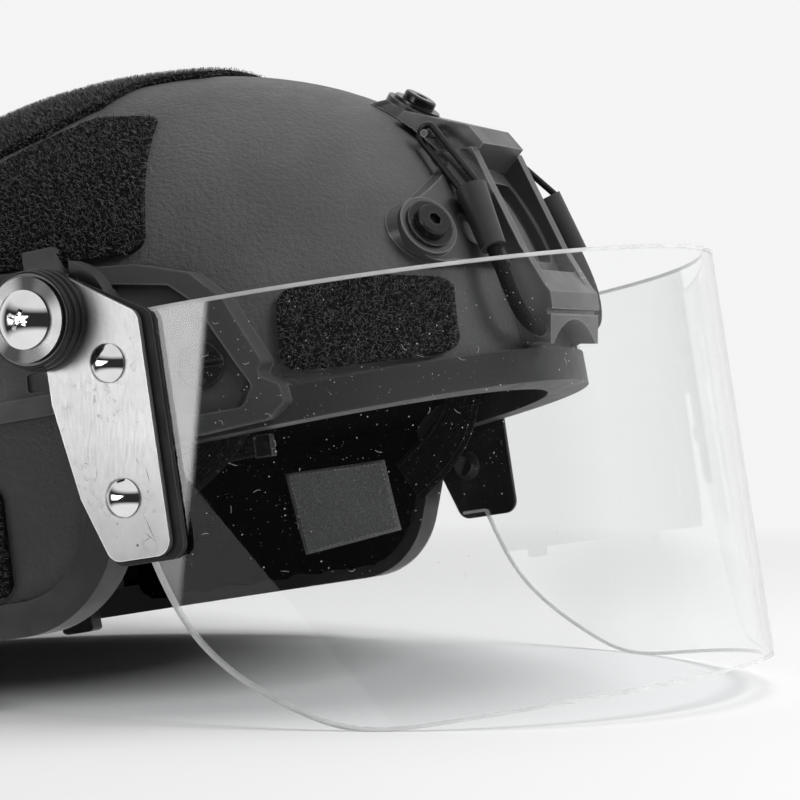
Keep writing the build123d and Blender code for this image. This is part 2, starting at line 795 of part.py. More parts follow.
# Adapter: a block in the rail's channel with a collar, a boss for the pivot and lugs for the tab
adapter_block = prism(rectangle(Plane.YZ, (adapter_front_y, adapter_low_z), (adapter_rear_y, adapter_high_z),
                                adapter_corner_radius), -adapter_outer_x)
lug_spans = [(tab_front_y - running_gap - lug_width, tab_front_y - running_gap),
             (tab_rear_y + running_gap, tab_rear_y + running_gap + lug_width)]
lugs = [prism(rectangle(Plane.YZ, (low, adapter_high_z - adapter_corner_radius), (high, lug_top_z), lug_round),
              -tab_outer_x) for low, high in lug_spans]
pin_plane = Plane(origin=(-tab_pin_x, 0, tab_pin_z), x_dir=(1, 0, 0), z_dir=(0, 1, 0))
tab_pin = rod(pin_plane, tab_pin_radius, tab_front_y - running_gap - lug_width / 2,
              tab_rear_y + running_gap + lug_width / 2)
adapter_floor = dome_layer(None, rail_floor + seat_gap)
lug_floor = within(dome_layer(None, rail_height + seat_gap),
                   prism(rectangle(Plane.YZ, (pivot_y - adapter_collar_radius - overrun / 2, adapter_high_z),
                                   (adapter_rear_y + overrun / 2, rail_top_z + overrun / 2), lug_round), -side_reach))
tab_room = prism(outline(Plane.YZ, [(tab_front_y - running_gap, tab_pin_z - tab_barrel_radius - running_gap),
                                    (tab_rear_y + running_gap, tab_pin_z - tab_barrel_radius - running_gap),
                                    (tab_rear_y + running_gap, tab_top_z), (tab_front_y - running_gap, tab_top_z)],
                         0), -side_reach)
with BuildPart() as adapter:
    add([adapter_block] + lugs)
    add(rod(pivot_plane, adapter_collar_radius, adapter_collar_base, adapter_outer_x))
    add(adapter_floor, mode=Mode.SUBTRACT)
    add(lug_floor, mode=Mode.SUBTRACT)
    add(tab_room, mode=Mode.SUBTRACT)
    add(rod(pivot_plane, adapter_boss_radius, adapter_outer_x - adapter_wall, plate_inner_x - running_gap))
    add(rod(pivot_plane, pivot_screw_radius + hole_clearance, adapter_outer_x - hole_clearance, lens_half_width
            + overrun), mode=Mode.SUBTRACT)
    add(tab_pin)
adapter.part.label = "adapter_right"

# Sprung release tab on the adapter
tab_side = outline(Plane.YZ, [(tab_front_y, tab_pin_z - tab_barrel_radius), (tab_top_front_y, tab_top_z),
                              (tab_rear_y, tab_top_z), (tab_rear_y, tab_pin_z - tab_barrel_radius)], 0)
tab_lever = outline(Plane.XZ, [(-tab_pin_x + tab_wall / 2, tab_pin_z), (-tab_pin_x - tab_wall / 2, tab_pin_z),
                               (-tab_outer_x, tab_top_z), (-tab_outer_x + tab_wall + tab_lip, tab_top_z),
                               (-tab_outer_x + tab_wall + tab_lip, tab_top_z - tab_wall),
                               (-tab_outer_x + tab_wall, tab_top_z - tab_wall)], 0)
tab_body = prism(tab_lever, side_reach, both=True)
tab_sides = prism(tab_side, -side_reach)
with BuildPart() as release_tab:
    add(tab_body)
    add(tab_sides, mode=Mode.INTERSECT)
    add(rod(pin_plane, tab_barrel_radius, tab_front_y, tab_rear_y))
    add(rod(pin_plane, tab_pin_radius + running_gap, tab_front_y - overrun, tab_rear_y + overrun),
        mode=Mode.SUBTRACT)
release_tab.part.label = "release_tab_right"
right_pieces += [adapter, release_tab]

# Stack on the pivot: grooved friction rings, a washer and a cross-slotted screw
ring_bore = pivot_screw_radius + hole_clearance
with BuildPart() as friction_rings:
    for step in range(ring_count):
        base = stack_x + step * (ring_wall + hole_clearance)
        with BuildSketch(pivot_plane.offset(base)):
            Circle(ring_radius - step * ring_step)
            Circle(ring_bore, mode=Mode.SUBTRACT)
        extrude(amount=ring_wall)
    ring_edges = friction_rings.edges().filter_by(GeomType.CIRCLE)
    fillet([edge for edge in ring_edges if edge.radius > ring_bore + ring_step], ring_edge_softness)
friction_rings.part.label = "friction_rings_right"
washer_x = stack_x + ring_count * (ring_wall + hole_clearance)
head_x = washer_x + pivot_washer_wall + hole_clearance
right_pivot_washer = rod(pivot_plane, pivot_washer_radius, washer_x, washer_x + pivot_washer_wall)
washer_bores = both_sides(rod(pivot_plane, ring_bore, washer_x - overrun, washer_x + overrun))
with BuildPart() as pivot_washers:
    add(both_sides(right_pivot_washer))
    add(washer_bores, mode=Mode.SUBTRACT)
pivot_washers.part.label = "pivot_washers"
with BuildPart() as pivot_screw:
    with BuildSketch(pivot_plane.offset(head_x)):
        Circle(pivot_head_radius)
    extrude(amount=pivot_head_height)
    fillet(pivot_screw.faces().sort_by(Axis.X)[0].edges(), pivot_head_round)
    with BuildSketch(pivot_plane.offset(head_x + pivot_head_height)):
        Rectangle(cross_slot_length, cross_slot_width)
        Rectangle(cross_slot_width, cross_slot_length)
    extrude(amount=-cross_slot_depth, mode=Mode.SUBTRACT)
    with BuildSketch(pivot_plane.offset(head_x)):
        Circle(pivot_screw_radius)
    extrude(amount=adapter_outer_x - head_x)
with BuildPart() as pivot_screws:
    add(both_sides(pivot_screw.part))
pivot_screws.part.label = "pivot_screws"
right_pieces.append(friction_rings)
middle_pieces += [pivot_washers, pivot_screws]

# Rivet bores through plate, gasket and lens
rivet_planes = [Plane(origin=(0, y, z), x_dir=(0, 1, 0), z_dir=(-1, 0, 0)) for y, z in rivet_places]
rivet_bores = [rod(plane, bore_radius, lens_half_width - overrun, lens_half_width + overrun)
               for plane in rivet_planes]

# Face shield
with BuildSketch(Plane.XY.offset(lens_bottom_z)) as lens_plan:
    with Locations((0, lens_rear_y)):
        Ellipse(lens_half_width, lens_depth)
        Ellipse(lens_inner_half_width, lens_depth - lens_wall, mode=Mode.SUBTRACT)
        Rectangle(2 * side_reach, lens_depth + overrun, align=(Align.CENTER, Align.MIN), mode=Mode.SUBTRACT)
lens_corner = spread((lens_tab_front_y, lens_tab_z), (lens_contact_y, lens_bottom_z), lens_corner_share)
with BuildSketch(Plane.YZ) as lens_side:
    with BuildLine():
        lens_curve = Spline((lens_tab_front_y, lens_tab_z), *lens_corner, (lens_contact_y, lens_bottom_z),
                            tangents=[lens_corner_start, (-1, 0)])
        Polyline((lens_contact_y, lens_bottom_z), (-lens_depth - overrun * 2, lens_bottom_z),
                 (-lens_depth - overrun * 2, lens_top_z), (lens_rear_y, lens_top_z), (lens_rear_y, lens_tab_z),
                 (lens_tab_front_y, lens_tab_z))
    make_face()
lens_side_prism = prism(lens_side.sketch, side_reach, both=True)
with BuildPart() as visor_lens:
    add(lens_plan.sketch)
    extrude(lens_plan.sketch, amount=lens_top_z - lens_bottom_z)
    add(lens_side_prism, mode=Mode.INTERSECT)
    add([twin for bore in rivet_bores for twin in both_sides(bore)], mode=Mode.SUBTRACT)
visor_lens.part.label = "visor_lens"
middle_pieces.append(visor_lens)


def side_plate_outline(reveal, foot):
    """Side view of the plate at the pivot, carried forward by the reveal and down by the foot."""
    front_y = plate_front_y - reveal
    low_z = plate_low_z - foot
    span = sqrt((pivot_y - front_y) ** 2 + (pivot_z - plate_corner_z) ** 2)
    rise = atan2(pivot_z - plate_corner_z, pivot_y - front_y) + asin(plate_head_radius / span)
    touch = (pivot_y - plate_head_radius * sin(rise), pivot_z + plate_head_radius * cos(rise))
    corners = [(front_y, plate_corner_z), (front_y, low_z), (plate_foot_y, low_z)]
    with BuildSketch(Plane.YZ) as plate:
        with BuildLine():
            Polyline(*corners, (plate_heel_y, plate_heel_z), (plate_neck_y, plate_neck_z),
                     (plate_neck_y, pivot_z), touch, close=True)
        make_face()
        for corner in corners:
            fillet(plate.vertices().sort_by_distance(corner)[0], plate_corner_radius)
        with Locations((pivot_y, pivot_z)):
            Circle(plate_head_radius)
    return plate.sketch


# Metal side plate that turns on the pivot screw
plate_blank = prism(side_plate_outline(0, 0), -plate_outer_x)
plate_inside = prism(side_plate_outline(overrun, overrun), -plate_inner_x)
with BuildPart() as side_plate:
    add(plate_blank)
    add(plate_inside, mode=Mode.SUBTRACT)
    add(rod(pivot_plane, pivot_screw_radius + running_gap, 0, plate_outer_x + overrun), mode=Mode.SUBTRACT)
    add(rivet_bores, mode=Mode.SUBTRACT)
side_plate.part.label = "side_plate_right"

# Rubber gasket between the plate and the face shield
gasket_blank = prism(side_plate_outline(gasket_reveal, gasket_foot), -(plate_inner_x - hole_clearance))
gasket_back = []
for step in range(gasket_facet_count + 1):
    facet_y = lens_rear_y - step * gasket_facet_length
    face_x = lens_half_width * sqrt(1 - ((lens_rear_y - facet_y) / lens_depth) ** 2)
    gasket_back.append((-face_x - seat_gap, facet_y))
core_points = [(0, pivot_y + overrun), (gasket_back[0][0], pivot_y + overrun)] + gasket_back
core_points.append((0, gasket_back[-1][1]))
lens_core = prism(outline(Plane.XY, core_points, 0), side_reach, both=True)
with BuildPart() as plate_gasket:
    add(gasket_blank)
    add(lens_core, mode=Mode.SUBTRACT)
    add(rod(pivot_plane, adapter_boss_radius + running_gap, 0, plate_outer_x + overrun), mode=Mode.SUBTRACT)
    add(rivet_bores, mode=Mode.SUBTRACT)
plate_gasket.part.label = "plate_gasket_right"
right_pieces += [side_plate, plate_gasket]

# Rivets with domed heads outside, washers and set tails inside
rivet_solids = []
rivet_washer_solids = []
for plane, rivet_y in zip(rivet_planes, [place[0] for place in rivet_places]):
    drawn = (lens_rear_y - rivet_y + rivet_washer_radius) / (lens_depth - lens_wall)
    washer_top = lens_inner_half_width * sqrt(1 - drawn ** 2) - hole_clearance
    tail_top = washer_top - rivet_washer_wall - hole_clearance
    head_base = plate_outer_x + hole_clearance
    with BuildPart() as rivet:
        with BuildSketch(plane.offset(head_base)):
            Circle(rivet_head_radius)
        extrude(amount=rivet_head_height)
        fillet(rivet.faces().sort_by(Axis.X)[0].edges(), rivet_head_round)
        with BuildSketch(plane.offset(tail_top - rivet_tail_height)):
            Circle(rivet_tail_radius)
        extrude(amount=rivet_tail_height)
        with BuildSketch(plane.offset(tail_top)):
            Circle(screw_radius)
        extrude(amount=head_base - tail_top)
    rivet_solids += both_sides(rivet.part)
    with BuildPart() as rivet_washer:
        with BuildSketch(plane.offset(washer_top - rivet_washer_wall)):
            Circle(rivet_washer_radius)
            Circle(bore_radius, mode=Mode.SUBTRACT)
        extrude(amount=rivet_washer_wall)
    rivet_washer_solids += both_sides(rivet_washer.part)
with BuildPart() as plate_rivets:
    add(rivet_solids)
plate_rivets.part.label = "plate_rivets"
with BuildPart() as rivet_washers:
    add(rivet_washer_solids)
rivet_washers.part.label = "rivet_washers"
middle_pieces += [plate_rivets, rivet_washers]

# Ear liner and pads, soft pieces against the inside of the shell
liner_layer = dome_layer(liner_face, pad_back)
pad_base_layer = dome_layer(pad_face + pad_crown, pad_back)
pad_crown_layer = dome_layer(pad_face, pad_face + pad_crown + seat_gap)
inside_rim_prism = prism(rim_region(trim_wall), side_reach, both=True)
liner_outline = rectangle(Plane.YZ, (liner_front_y, liner_low_z), (liner_rear_y, liner_high_z), pad_corner_radius)
liner_prism = prism(liner_outline, -side_reach)
with BuildPart() as ear_liner:
    add(liner_prism)
    add(liner_layer, mode=Mode.INTERSECT)
    add(inside_rim_prism, mode=Mode.INTERSECT)
    add(trim_space.part, mode=Mode.SUBTRACT)
ear_liner.part.label = "ear_liner_right"


def cushion(plane, low, high, reach):
    """Pad on the inside of the shell: a full block with a smaller crown on its face."""
    inset = pad_draw
    base = prism(rectangle(plane, low, high, pad_corner_radius), reach)
    top = prism(rectangle(plane, (low[0] + inset, low[1] + inset), (high[0] - inset, high[1] - inset),
                          pad_corner_radius - inset), reach)
    base_solid = within(pad_base_layer, base)
    crown_solid = within(pad_crown_layer, top)
    with BuildPart() as pad:
        add(base_solid)
        add(crown_solid)
    return pad.part


side_cushions = [cushion(Plane.YZ, low, high, -side_reach) for low, high in side_pad_boxes]
with BuildPart() as side_pads:
    add(side_cushions)
side_pads.part.label = "side_pads_right"
right_pieces += [ear_liner, side_pads]

front_cushion = cushion(Plane.XZ, (-front_pad_half_width, front_pad_low_z),
                        (front_pad_half_width, front_pad_high_z), shell_front_reach + overrun)
with BuildPart() as front_pad:
    add(whole(front_cushion))
front_pad.part.label = "front_pad"
rear_cushion = cushion(Plane.XZ, (-rear_pad_half_width, rear_pad_low_z),
                       (rear_pad_half_width, rear_pad_high_z), -(shell_rear_reach + overrun))
with BuildPart() as rear_pad:
    add(whole(rear_cushion))
rear_pad.part.label = "rear_pad"
crown_base = within(pad_base_layer, rod(Plane.XY.offset(0), crown_pad_radius, 0, side_reach))
crown_face = within(pad_crown_layer, rod(Plane.XY.offset(0), crown_pad_radius - pad_draw, 0, side_reach))
with BuildPart() as crown_half:
    add([crown_base, crown_face])
with BuildPart() as crown_pad:
    add(whole(crown_half.part))
crown_pad.part.label = "crown_pad"
middle_pieces += [front_pad, rear_pad, crown_pad]

# Bare label patch on the left ear liner
label_layer = dome_layer(liner_face - hole_clearance - label_thickness, liner_face - hole_clearance)
label_twin = within(label_layer, right_prism(label_outline))
with BuildPart() as label_patch:
    mirror(label_twin, about=Plane.YZ)
label_patch.part.label = "label_patch"
middle_pieces.append(label_patch)

# Retention straps on the studs
strap_layer = dome_layer(strap_face, strap_back)
over_layer = dome_layer(over_face, over_back)
for label, points in strap_lines:
    strap_prism = prism(strip(points, strap_width), -side_reach)
    with BuildPart() as strap:
        add(strap_prism)
        add(strap_layer, mode=Mode.INTERSECT)
        add(rail_bores, mode=Mode.SUBTRACT)
    strap.part.label = label
    right_pieces.append(strap)

# Free tail of the right front strap, with its metal end clip
tail_prism = prism(strip(tail_line, tail_width), -side_reach)
with BuildPart() as strap_tail:
    add(tail_prism)
    add(over_layer, mode=Mode.INTERSECT)
strap_tail.part.label = "strap_tail"
clip_front = (tail_line[0][0] - seat_gap - clip_length, tail_line[0][1])
clip_rear = (tail_line[0][0] - seat_gap, tail_line[0][1])
clip_prism = prism(strip([clip_front, clip_rear], tail_width + 2 * clip_wall), -side_reach)
clip_layer = dome_layer(over_face - clip_wall, over_back)
with BuildPart() as tail_clip:
    add(clip_prism)
    add(clip_layer, mode=Mode.INTERSECT)
tail_clip.part.label = "tail_clip"

# Sliders at the low ends of the rear straps
slider_layer = dome_layer(slider_face, slider_back)
slider_prism = prism(rectangle(Plane.YZ, (slider_y - slider_length / 2, slider_low_z),
                               (slider_y + slider_length / 2, slider_low_z + slider_height), slider_round),
                     -side_reach)
slider_right = within(slider_layer, slider_prism)
with BuildPart() as nape_sliders:
    add(both_sides(slider_right))
nape_sliders.part.label = "nape_sliders"

# Chin strap stowed round the nape, its chin cup and its buckle
band_profile = [(dome_radius(z, growth), z) for growth, z in (
    (over_face, chin_band_low_z), (over_back, chin_band_low_z),
    (over_back, chin_band_high_z), (over_face, chin_band_high_z))]
with BuildPart() as band_turned:
    with BuildSketch(Plane.YZ):
        with BuildLine():
            Polyline(*band_profile, close=True)
        make_face()
    revolve(axis=Axis.Z, revolution_arc=chin_band_arc)
band_half = scale(band_turned.part, by=(1, stretch, 1)).moved(Location((0, shell_middle_y, 0)))
with BuildPart() as chin_strap:
    add(whole(band_half))
chin_strap.part.label = "chin_strap"
cup_half = within(dome_layer(cup_back - cup_thickness, cup_back),
                  prism(rectangle(Plane.XZ, (-cup_half_width, cup_low_z), (cup_half_width, cup_high_z),
                                  pad_corner_radius), -(shell_rear_reach + overrun)))
with BuildPart() as chin_cup:
    add(whole(cup_half))
chin_cup.part.label = "chin_cup"
buckle_foot = skin_plane(cup_back, y=buckle_y, z=(chin_band_low_z + chin_band_high_z) / 2)
buckle_plane = Plane(origin=buckle_foot.origin, x_dir=(0, 0, 1), z_dir=buckle_foot.z_dir).offset(-buckle_seat)
buckle_half_length = (buckle_length - buckle_split) / 2
buckle_halves = []
for side in (-1, 1):
    with BuildPart() as buckle_half:
        with BuildSketch(buckle_plane):
            with Locations((0, side * (buckle_half_length + buckle_split) / 2)):
                RectangleRounded(buckle_height, buckle_half_length, slider_round)
        extrude(amount=-buckle_thickness)
    buckle_halves.append(buckle_half.part)
with BuildPart() as strap_buckle:
    for half in buckle_halves:
        mirror(half, about=Plane.YZ)
strap_buckle.part.label = "strap_buckle"
middle_pieces += [strap_tail, tail_clip, nape_sliders, chin_strap, chin_cup, strap_buckle]

# Twins on the wearer's left
left_pieces = []
for right in right_pieces:
    left = mirrored(right)
    left.part.label = right.part.label.replace("right", "left")
    left_pieces.append(left)

# Rest pose: tilted back until the nape and the face shield's low edge stand on one level
nape_y = shell_middle_y + stretch * dome_radius(nape_z, trim_wall)
nape_share = (nape_y - ear_front_low_y) / (shell_rear_reach + overrun - ear_front_low_y)
nape_point = (nape_y, ear_z + (nape_z - ear_z) * nape_share)
lens_points = [(spot.X, spot.Y) for spot in (lens_curve @ (step / halving_count)
                                             for step in range(halving_count + 1))]


def level(point, tilt):
    """Height of a side-view point once the helmet is tilted back."""
    return point[1] * cos(tilt) - point[0] * sin(tilt)


low_tilt, high_tilt = 0, radians(tilt_limit)
for step in range(halving_count):
    tilt = (low_tilt + high_tilt) / 2
    if level(nape_point, tilt) > min(level(point, tilt) for point in lens_points):
        low_tilt = tilt
    else:
        high_tilt = tilt
pieces = middle_pieces + right_pieces + left_pieces
tilted = [Rot(-degrees(tilt), 0, 0) * piece.part for piece in pieces]
boxes = [part.bounding_box() for part in tilted]
floor_z = min(box.min.Z for box in boxes)
centre_y = (min(box.min.Y for box in boxes) + max(box.max.Y for box in boxes)) / 2
rest = Pos(0, -centre_y, -floor_z) * Rot(-degrees(tilt), 0, 0)
print("tilt", round(degrees(tilt), 4), "shift", round(-centre_y, 4), "lift", round(-floor_z, 4))

for piece in pieces:
    piece.part.move(rest)
    export_step(piece.part, f"parts/{piece.part.label}.step")
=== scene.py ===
"""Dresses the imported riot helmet: finishes, loop pile, pads, straps, shield dust, light and camera."""
import logging
import math
import random
from collections.abc import Callable
from dataclasses import dataclass, field
from enum import Enum

import bmesh
import bpy
from mathutils import Matrix, Vector, noise


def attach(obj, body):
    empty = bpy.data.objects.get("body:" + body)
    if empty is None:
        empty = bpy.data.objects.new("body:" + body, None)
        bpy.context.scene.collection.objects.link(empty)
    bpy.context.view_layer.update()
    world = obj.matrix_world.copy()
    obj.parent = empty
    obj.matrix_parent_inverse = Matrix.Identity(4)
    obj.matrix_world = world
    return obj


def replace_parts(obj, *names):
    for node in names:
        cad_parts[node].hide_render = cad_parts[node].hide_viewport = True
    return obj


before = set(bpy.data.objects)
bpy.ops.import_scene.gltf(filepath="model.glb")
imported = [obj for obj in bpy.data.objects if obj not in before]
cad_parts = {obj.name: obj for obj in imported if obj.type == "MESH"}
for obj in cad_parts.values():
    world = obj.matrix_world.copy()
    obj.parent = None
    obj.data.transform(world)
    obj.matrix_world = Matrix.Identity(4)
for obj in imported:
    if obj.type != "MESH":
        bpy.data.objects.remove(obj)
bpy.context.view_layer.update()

LOG = logging.getLogger("riot_helmet")
Spot = tuple[float, float]
Place = tuple[float, float, float]
Colour = tuple[float, float, float]
Socket = bpy.types.NodeSocket

MM = 0.001
HALVINGS = 24
SHARP_ANGLE = math.radians(32)
PIVOT: Spot = (-38.0, 35.0)
PLATE_OUTER_X = 132.65


class Side(Enum):
    """The wearer's side a piece is on, with the sign of its X."""

    RIGHT = -1.0
    LEFT = 1.0

    @property
    def word(self) -> str:
        """The side as it stands in the names of the nodes."""
        return self.name.lower()


class Body(Enum):
    """The bodies that a piece can ride on."""

    HELMET = "helmet"
    VISOR = "visor"


def halved(low: float, high: float, goes_on: Callable[[float], bool]) -> float:
    """Finds where a test that holds at the low end stops holding.

    Args:
        low: a value at which the test holds.
        high: a value at which it doesn't.
        goes_on: the test.

    Returns:
        The value between the two, by halving.
    """
    for _ in range(HALVINGS):
        middle = (low + high) / 2
        if goes_on(middle):
            low = middle
        else:
            high = middle
    return (low + high) / 2


@dataclass(frozen=True)
class HelmetForm:
    """The helmet's dome, drawn upright in millimetres, and its tilt at rest."""

    half_width: float = 122.5
    half_length: float = 141.5
    middle_y: float = -9.5
    crown_height: float = 124.6
    fullness: float = 2.26
    skirt_flare: float = 3.1
    skirt_depth: float = 78.0
    tilt: float = math.radians(9.196)
    shift: float = 42.126
    lift: float = 82.8995
    most_inside: float = -60.0
    most_outside: float = 20.0

    @property
    def stretch(self) -> float:
        """Length of the dome in plan over its width."""
        return self.half_length / self.half_width

    def radius(self, z: float, growth: float) -> float:
        """Half width of the dome at a height.

        Args:
            z: height over the widest level, in mm.
            growth: how far the form is grown all round, in mm.

        Returns:
            The half width in mm.
        """
        wide = self.half_width + growth
        if z > 0:
            share = min(1.0, z / (self.crown_height + growth))
            return wide * (1 - share ** self.fullness) ** (1 / self.fullness)
        return wide + self.skirt_flare * (z / self.skirt_depth) ** 2

    def growth_at(self, x: float, y: float, z: float) -> float:
        """How far a drawn point lies outside the dome.

        Args:
            x: the point's X, in mm.
            y: its Y.
            z: its Z.

        Returns:
            The distance in mm, less than zero inside.
        """
        plan = math.hypot(x, (y - self.middle_y) / self.stretch)

        def outside(growth: float) -> bool:
            """Whether the point lies outside the dome when that is grown so far."""
            return (z > 0 and z >= self.crown_height + growth) or self.radius(z, growth) < plan

        return halved(self.most_inside, self.most_outside, outside)

    def row(self, x: float, y: float, z: float) -> Vector:
        """A drawn point in the row frame, in metres."""
        turn, rise = math.cos(self.tilt), math.sin(self.tilt)
        return Vector((x, y * turn + z * rise + self.shift, z * turn - y * rise + self.lift)) * MM

    def drawn(self, point: Vector) -> Vector:
        """A point of the row frame as it is drawn, in mm.

        Args:
            point: the point, in metres.

        Returns:
            The same point before the tilt.
        """
        y, z = point.y / MM - self.shift, point.z / MM - self.lift
        turn, rise = math.cos(self.tilt), math.sin(self.tilt)
        return Vector((point.x / MM, y * turn - z * rise, y * rise + z * turn))

    def on_side(self, side: Side, y: float, z: float, growth: float) -> Vector:
        """Point on the side of the grown dome.

        Args:
            side: the wearer's side.
            y: the point's Y in side view, in mm.
            z: its Z.
            growth: how far the dome is grown.

        Returns:
            The point in the row frame.
        """
        wide = self.radius(z, growth)
        drawn_y = (y - self.middle_y) / self.stretch
        return self.row(side.value * math.sqrt(max(0.0, wide * wide - drawn_y * drawn_y)), y, z)


FORM = HelmetForm()


@dataclass(frozen=True)
class Grain:
    """Noise by its cells per metre, its detail and how rough that detail is."""

    scale: float
    detail: float = 3.0
    rough: float = 0.5


@dataclass(frozen=True)
class Patches(Grain):
    """Grain whose part between two levels is spread out."""

    low: float = 0.3
    high: float = 0.7


@dataclass(frozen=True)
class Bumps(Grain):
    """Grain that stands in relief, with its depth in metres."""

    depth: float = 0.0001
    strength: float = 1.0


@dataclass(frozen=True)
class Specks:
    """Small spots: cells per metre, the distances at which one is full and gone, and where they gather."""

    scale: float
    full: float
    gone: float
    gather: Patches


class NodeKit:
    """Writes one node tree in short calls."""

    def __init__(self, tree: bpy.types.NodeTree) -> None:
        """Starts with an empty tree."""
        self.tree = tree
        tree.nodes.clear()

    def node(self, kind: str, inputs: dict, **settings: object) -> bpy.types.Node:
        """Adds a node.

        Args:
            kind: the node's type without its ShaderNode prefix.
            inputs: values or sockets by input name or number.
            settings: properties of the node.

        Returns:
            The node.
        """
        made = self.tree.nodes.new("ShaderNode" + kind)
        for name, value in settings.items():
            setattr(made, name, value)
        for key, value in inputs.items():
            if isinstance(value, Socket):
                self.tree.links.new(value, made.inputs[key])
            else:
                made.inputs[key].default_value = value
        return made

    def span(self, value: Socket, part: Spot, start: float = 0.0, end: float = 1.0) -> Socket:
        """Maps a part of a value's range to start and end."""
        return self.node("MapRange", {0: value, 1: part[0], 2: part[1], 3: start, 4: end}).outputs[0]

    def sums(self, operation: str, first: object, second: object = 0.0) -> Socket:
        """One Math node."""
        return self.node("Math", {0: first, 1: second}, operation=operation).outputs[0]

    def times(self, first: object, second: object) -> Socket:
        """The product of two values."""
        return self.sums("MULTIPLY", first, second)

    def plus(self, first: object, second: object) -> Socket:
        """The sum of two values."""
        return self.sums("ADD", first, second)


class Shades(NodeKit):
    """Writes one material round a Principled shader."""

    edge_likeness: Spot = (0.99, 0.86)
    bevel_samples: int = 4

    def __init__(self, name: str) -> None:
        """Starts a material.

        Args:
            name: the material's name.
        """
        self.material = bpy.data.materials.new(name)
        self.material.use_nodes = True
        super().__init__(self.material.node_tree)
        self.shader = self.node("BsdfPrincipled", {})
        self.output = self.node("OutputMaterial", {"Surface": self.shader.outputs[0]})
        places = self.node("TexCoord", {}).outputs
        self.place, self.normal = places["Object"], places["Normal"]

    def put(self, **values: object) -> None:
        """Sets the shader's own sockets, or links a node's output to them.

        Args:
            values: numbers, colours or sockets by the shader's input.
        """
        for name, value in values.items():
            socket = self.shader.inputs[name.replace("_", " ")]
            if isinstance(value, Socket):
                self.tree.links.new(value, socket)
            elif isinstance(value, tuple):
                socket.default_value = (*value, 1.0)
            else:
                socket.default_value = value

    def show(self, shader: bpy.types.Node) -> None:
        """Makes another shader the material's surface."""
        self.tree.links.new(shader.outputs[0], self.output.inputs["Surface"])

    def scaled(self, factors: Place, turn: float) -> Socket:
        """Object coordinates scaled along each axis, after a turn about X."""
        inputs = {"Vector": self.place, "Scale": factors, "Rotation": (turn, 0, 0)}
        return self.node("Mapping", inputs).outputs[0]

    def measured_from(self, point: Vector) -> Socket:
        """Object coordinates measured from a point."""
        return self.node("VectorMath", {0: self.place, 1: tuple(point)}, operation="SUBTRACT").outputs[0]

    def grain(self, grain: Grain, where: Socket | None = None) -> Socket:
        """Noise from 0 to 1."""
        inputs = {"Vector": where or self.place, "Scale": grain.scale, "Detail": grain.detail,
                  "Roughness": grain.rough}
        return self.node("TexNoise", inputs).outputs[0]

    def patches(self, patches: Patches, start: float = 0.0, end: float = 1.0) -> Socket:
        """Noise with its middle part spread from start to end."""
        return self.span(self.grain(patches), (patches.low, patches.high), start, end)

    def cells(self, scale: float) -> Socket:
        """Distance to the middle of the nearest cell, the scale in cells per metre."""
        return self.node("TexVoronoi", {"Vector": self.place, "Scale": scale}).outputs["Distance"]

    def specks(self, specks: Specks, most: float = 1.0) -> Socket:
        """Share from 0 to the most in small spots."""
        return self.times(self.span(self.cells(specks.scale), (specks.gone, specks.full), 0.0, most),
                          self.patches(specks.gather))

    def blend(self, share: object, first: object, second: object) -> Socket:
        """Colour between two colours.

        Args:
            share: how much of the second colour.
            first: the first colour, a value or a socket.
            second: the second colour.

        Returns:
            The colour's socket.
        """
        made = self.node("Mix", {0: share}, data_type="RGBA")
        for place, value in ((6, first), (7, second)):
            if isinstance(value, Socket):
                self.tree.links.new(value, made.inputs[place])
            else:
                made.inputs[place].default_value = (*value, 1.0)
        return made.outputs[2]

    def relief(self, height: Socket, depth: float, strength: float = 1.0,
               under: Socket | None = None) -> Socket:
        """A bump on top of another bump.

        Args:
            height: the relief, from 0 to 1.
            depth: its depth in metres.
            strength: how much of it shows.
            under: the bump under it.

        Returns:
            The normal's socket.
        """
        inputs = {"Height": height, "Distance": depth, "Strength": strength}
        if under is not None:
            inputs["Normal"] = under
        return self.node("Bump", inputs).outputs[0]

    def bumps(self, bumps: Bumps, under: Socket | None = None) -> Socket:
        """Grain in relief on top of another bump."""
        return self.relief(self.grain(bumps), bumps.depth, bumps.strength, under)

    def edges(self, radius: float) -> Socket:
        """Share of the paler band on the edges, which is wear on most finishes and painted highlight on the
        shroud.

        Args:
            radius: the reach of the paler band from an edge, in metres.

        Returns:
            The share, from 0 on flat faces to 1 on edges.
        """
        soft = self.node("Bevel", {"Radius": radius}, samples=self.bevel_samples).outputs[0]
        sharp = self.node("NewGeometry", {}).outputs["Normal"]
        likeness = self.node("VectorMath", {0: soft, 1: sharp}, operation="DOT_PRODUCT").outputs["Value"]
        return self.span(likeness, self.edge_likeness)


def grey(level: float) -> Colour:
    """A neutral colour."""
    return (level, level, level)


@dataclass(frozen=True)
class Finish:
    """A finish of the helmet: its name, its material slot in the record and its main values."""

    name: str
    slot: str
    colour: Colour
    rough: float

    def paint(self, kit: Shades) -> None:
        """Writes the nodes of the finish."""
        kit.put(Base_Color=self.colour, Roughness=self.rough)

    def toned(self, kit: Shades, share: Socket, tones: Spot) -> Socket:
        """Colour of the finish from its first tone to its second, by a share."""
        first, second = (tuple(part * tone for part in self.colour) for tone in tones)
        return kit.blend(share, first, second)

    def around(self, swing: Spot) -> Spot:
        """The least and the most roughness, round the finish's own."""
        return self.rough + swing[0], self.rough + swing[1]

    def material(self) -> bpy.types.Material:
        """Makes the finish's material, once.

        Returns:
            The material.
        """
        known = bpy.data.materials.get(self.name)
        if known:
            return known
        kit = Shades(self.name)
        self.paint(kit)
        return kit.material


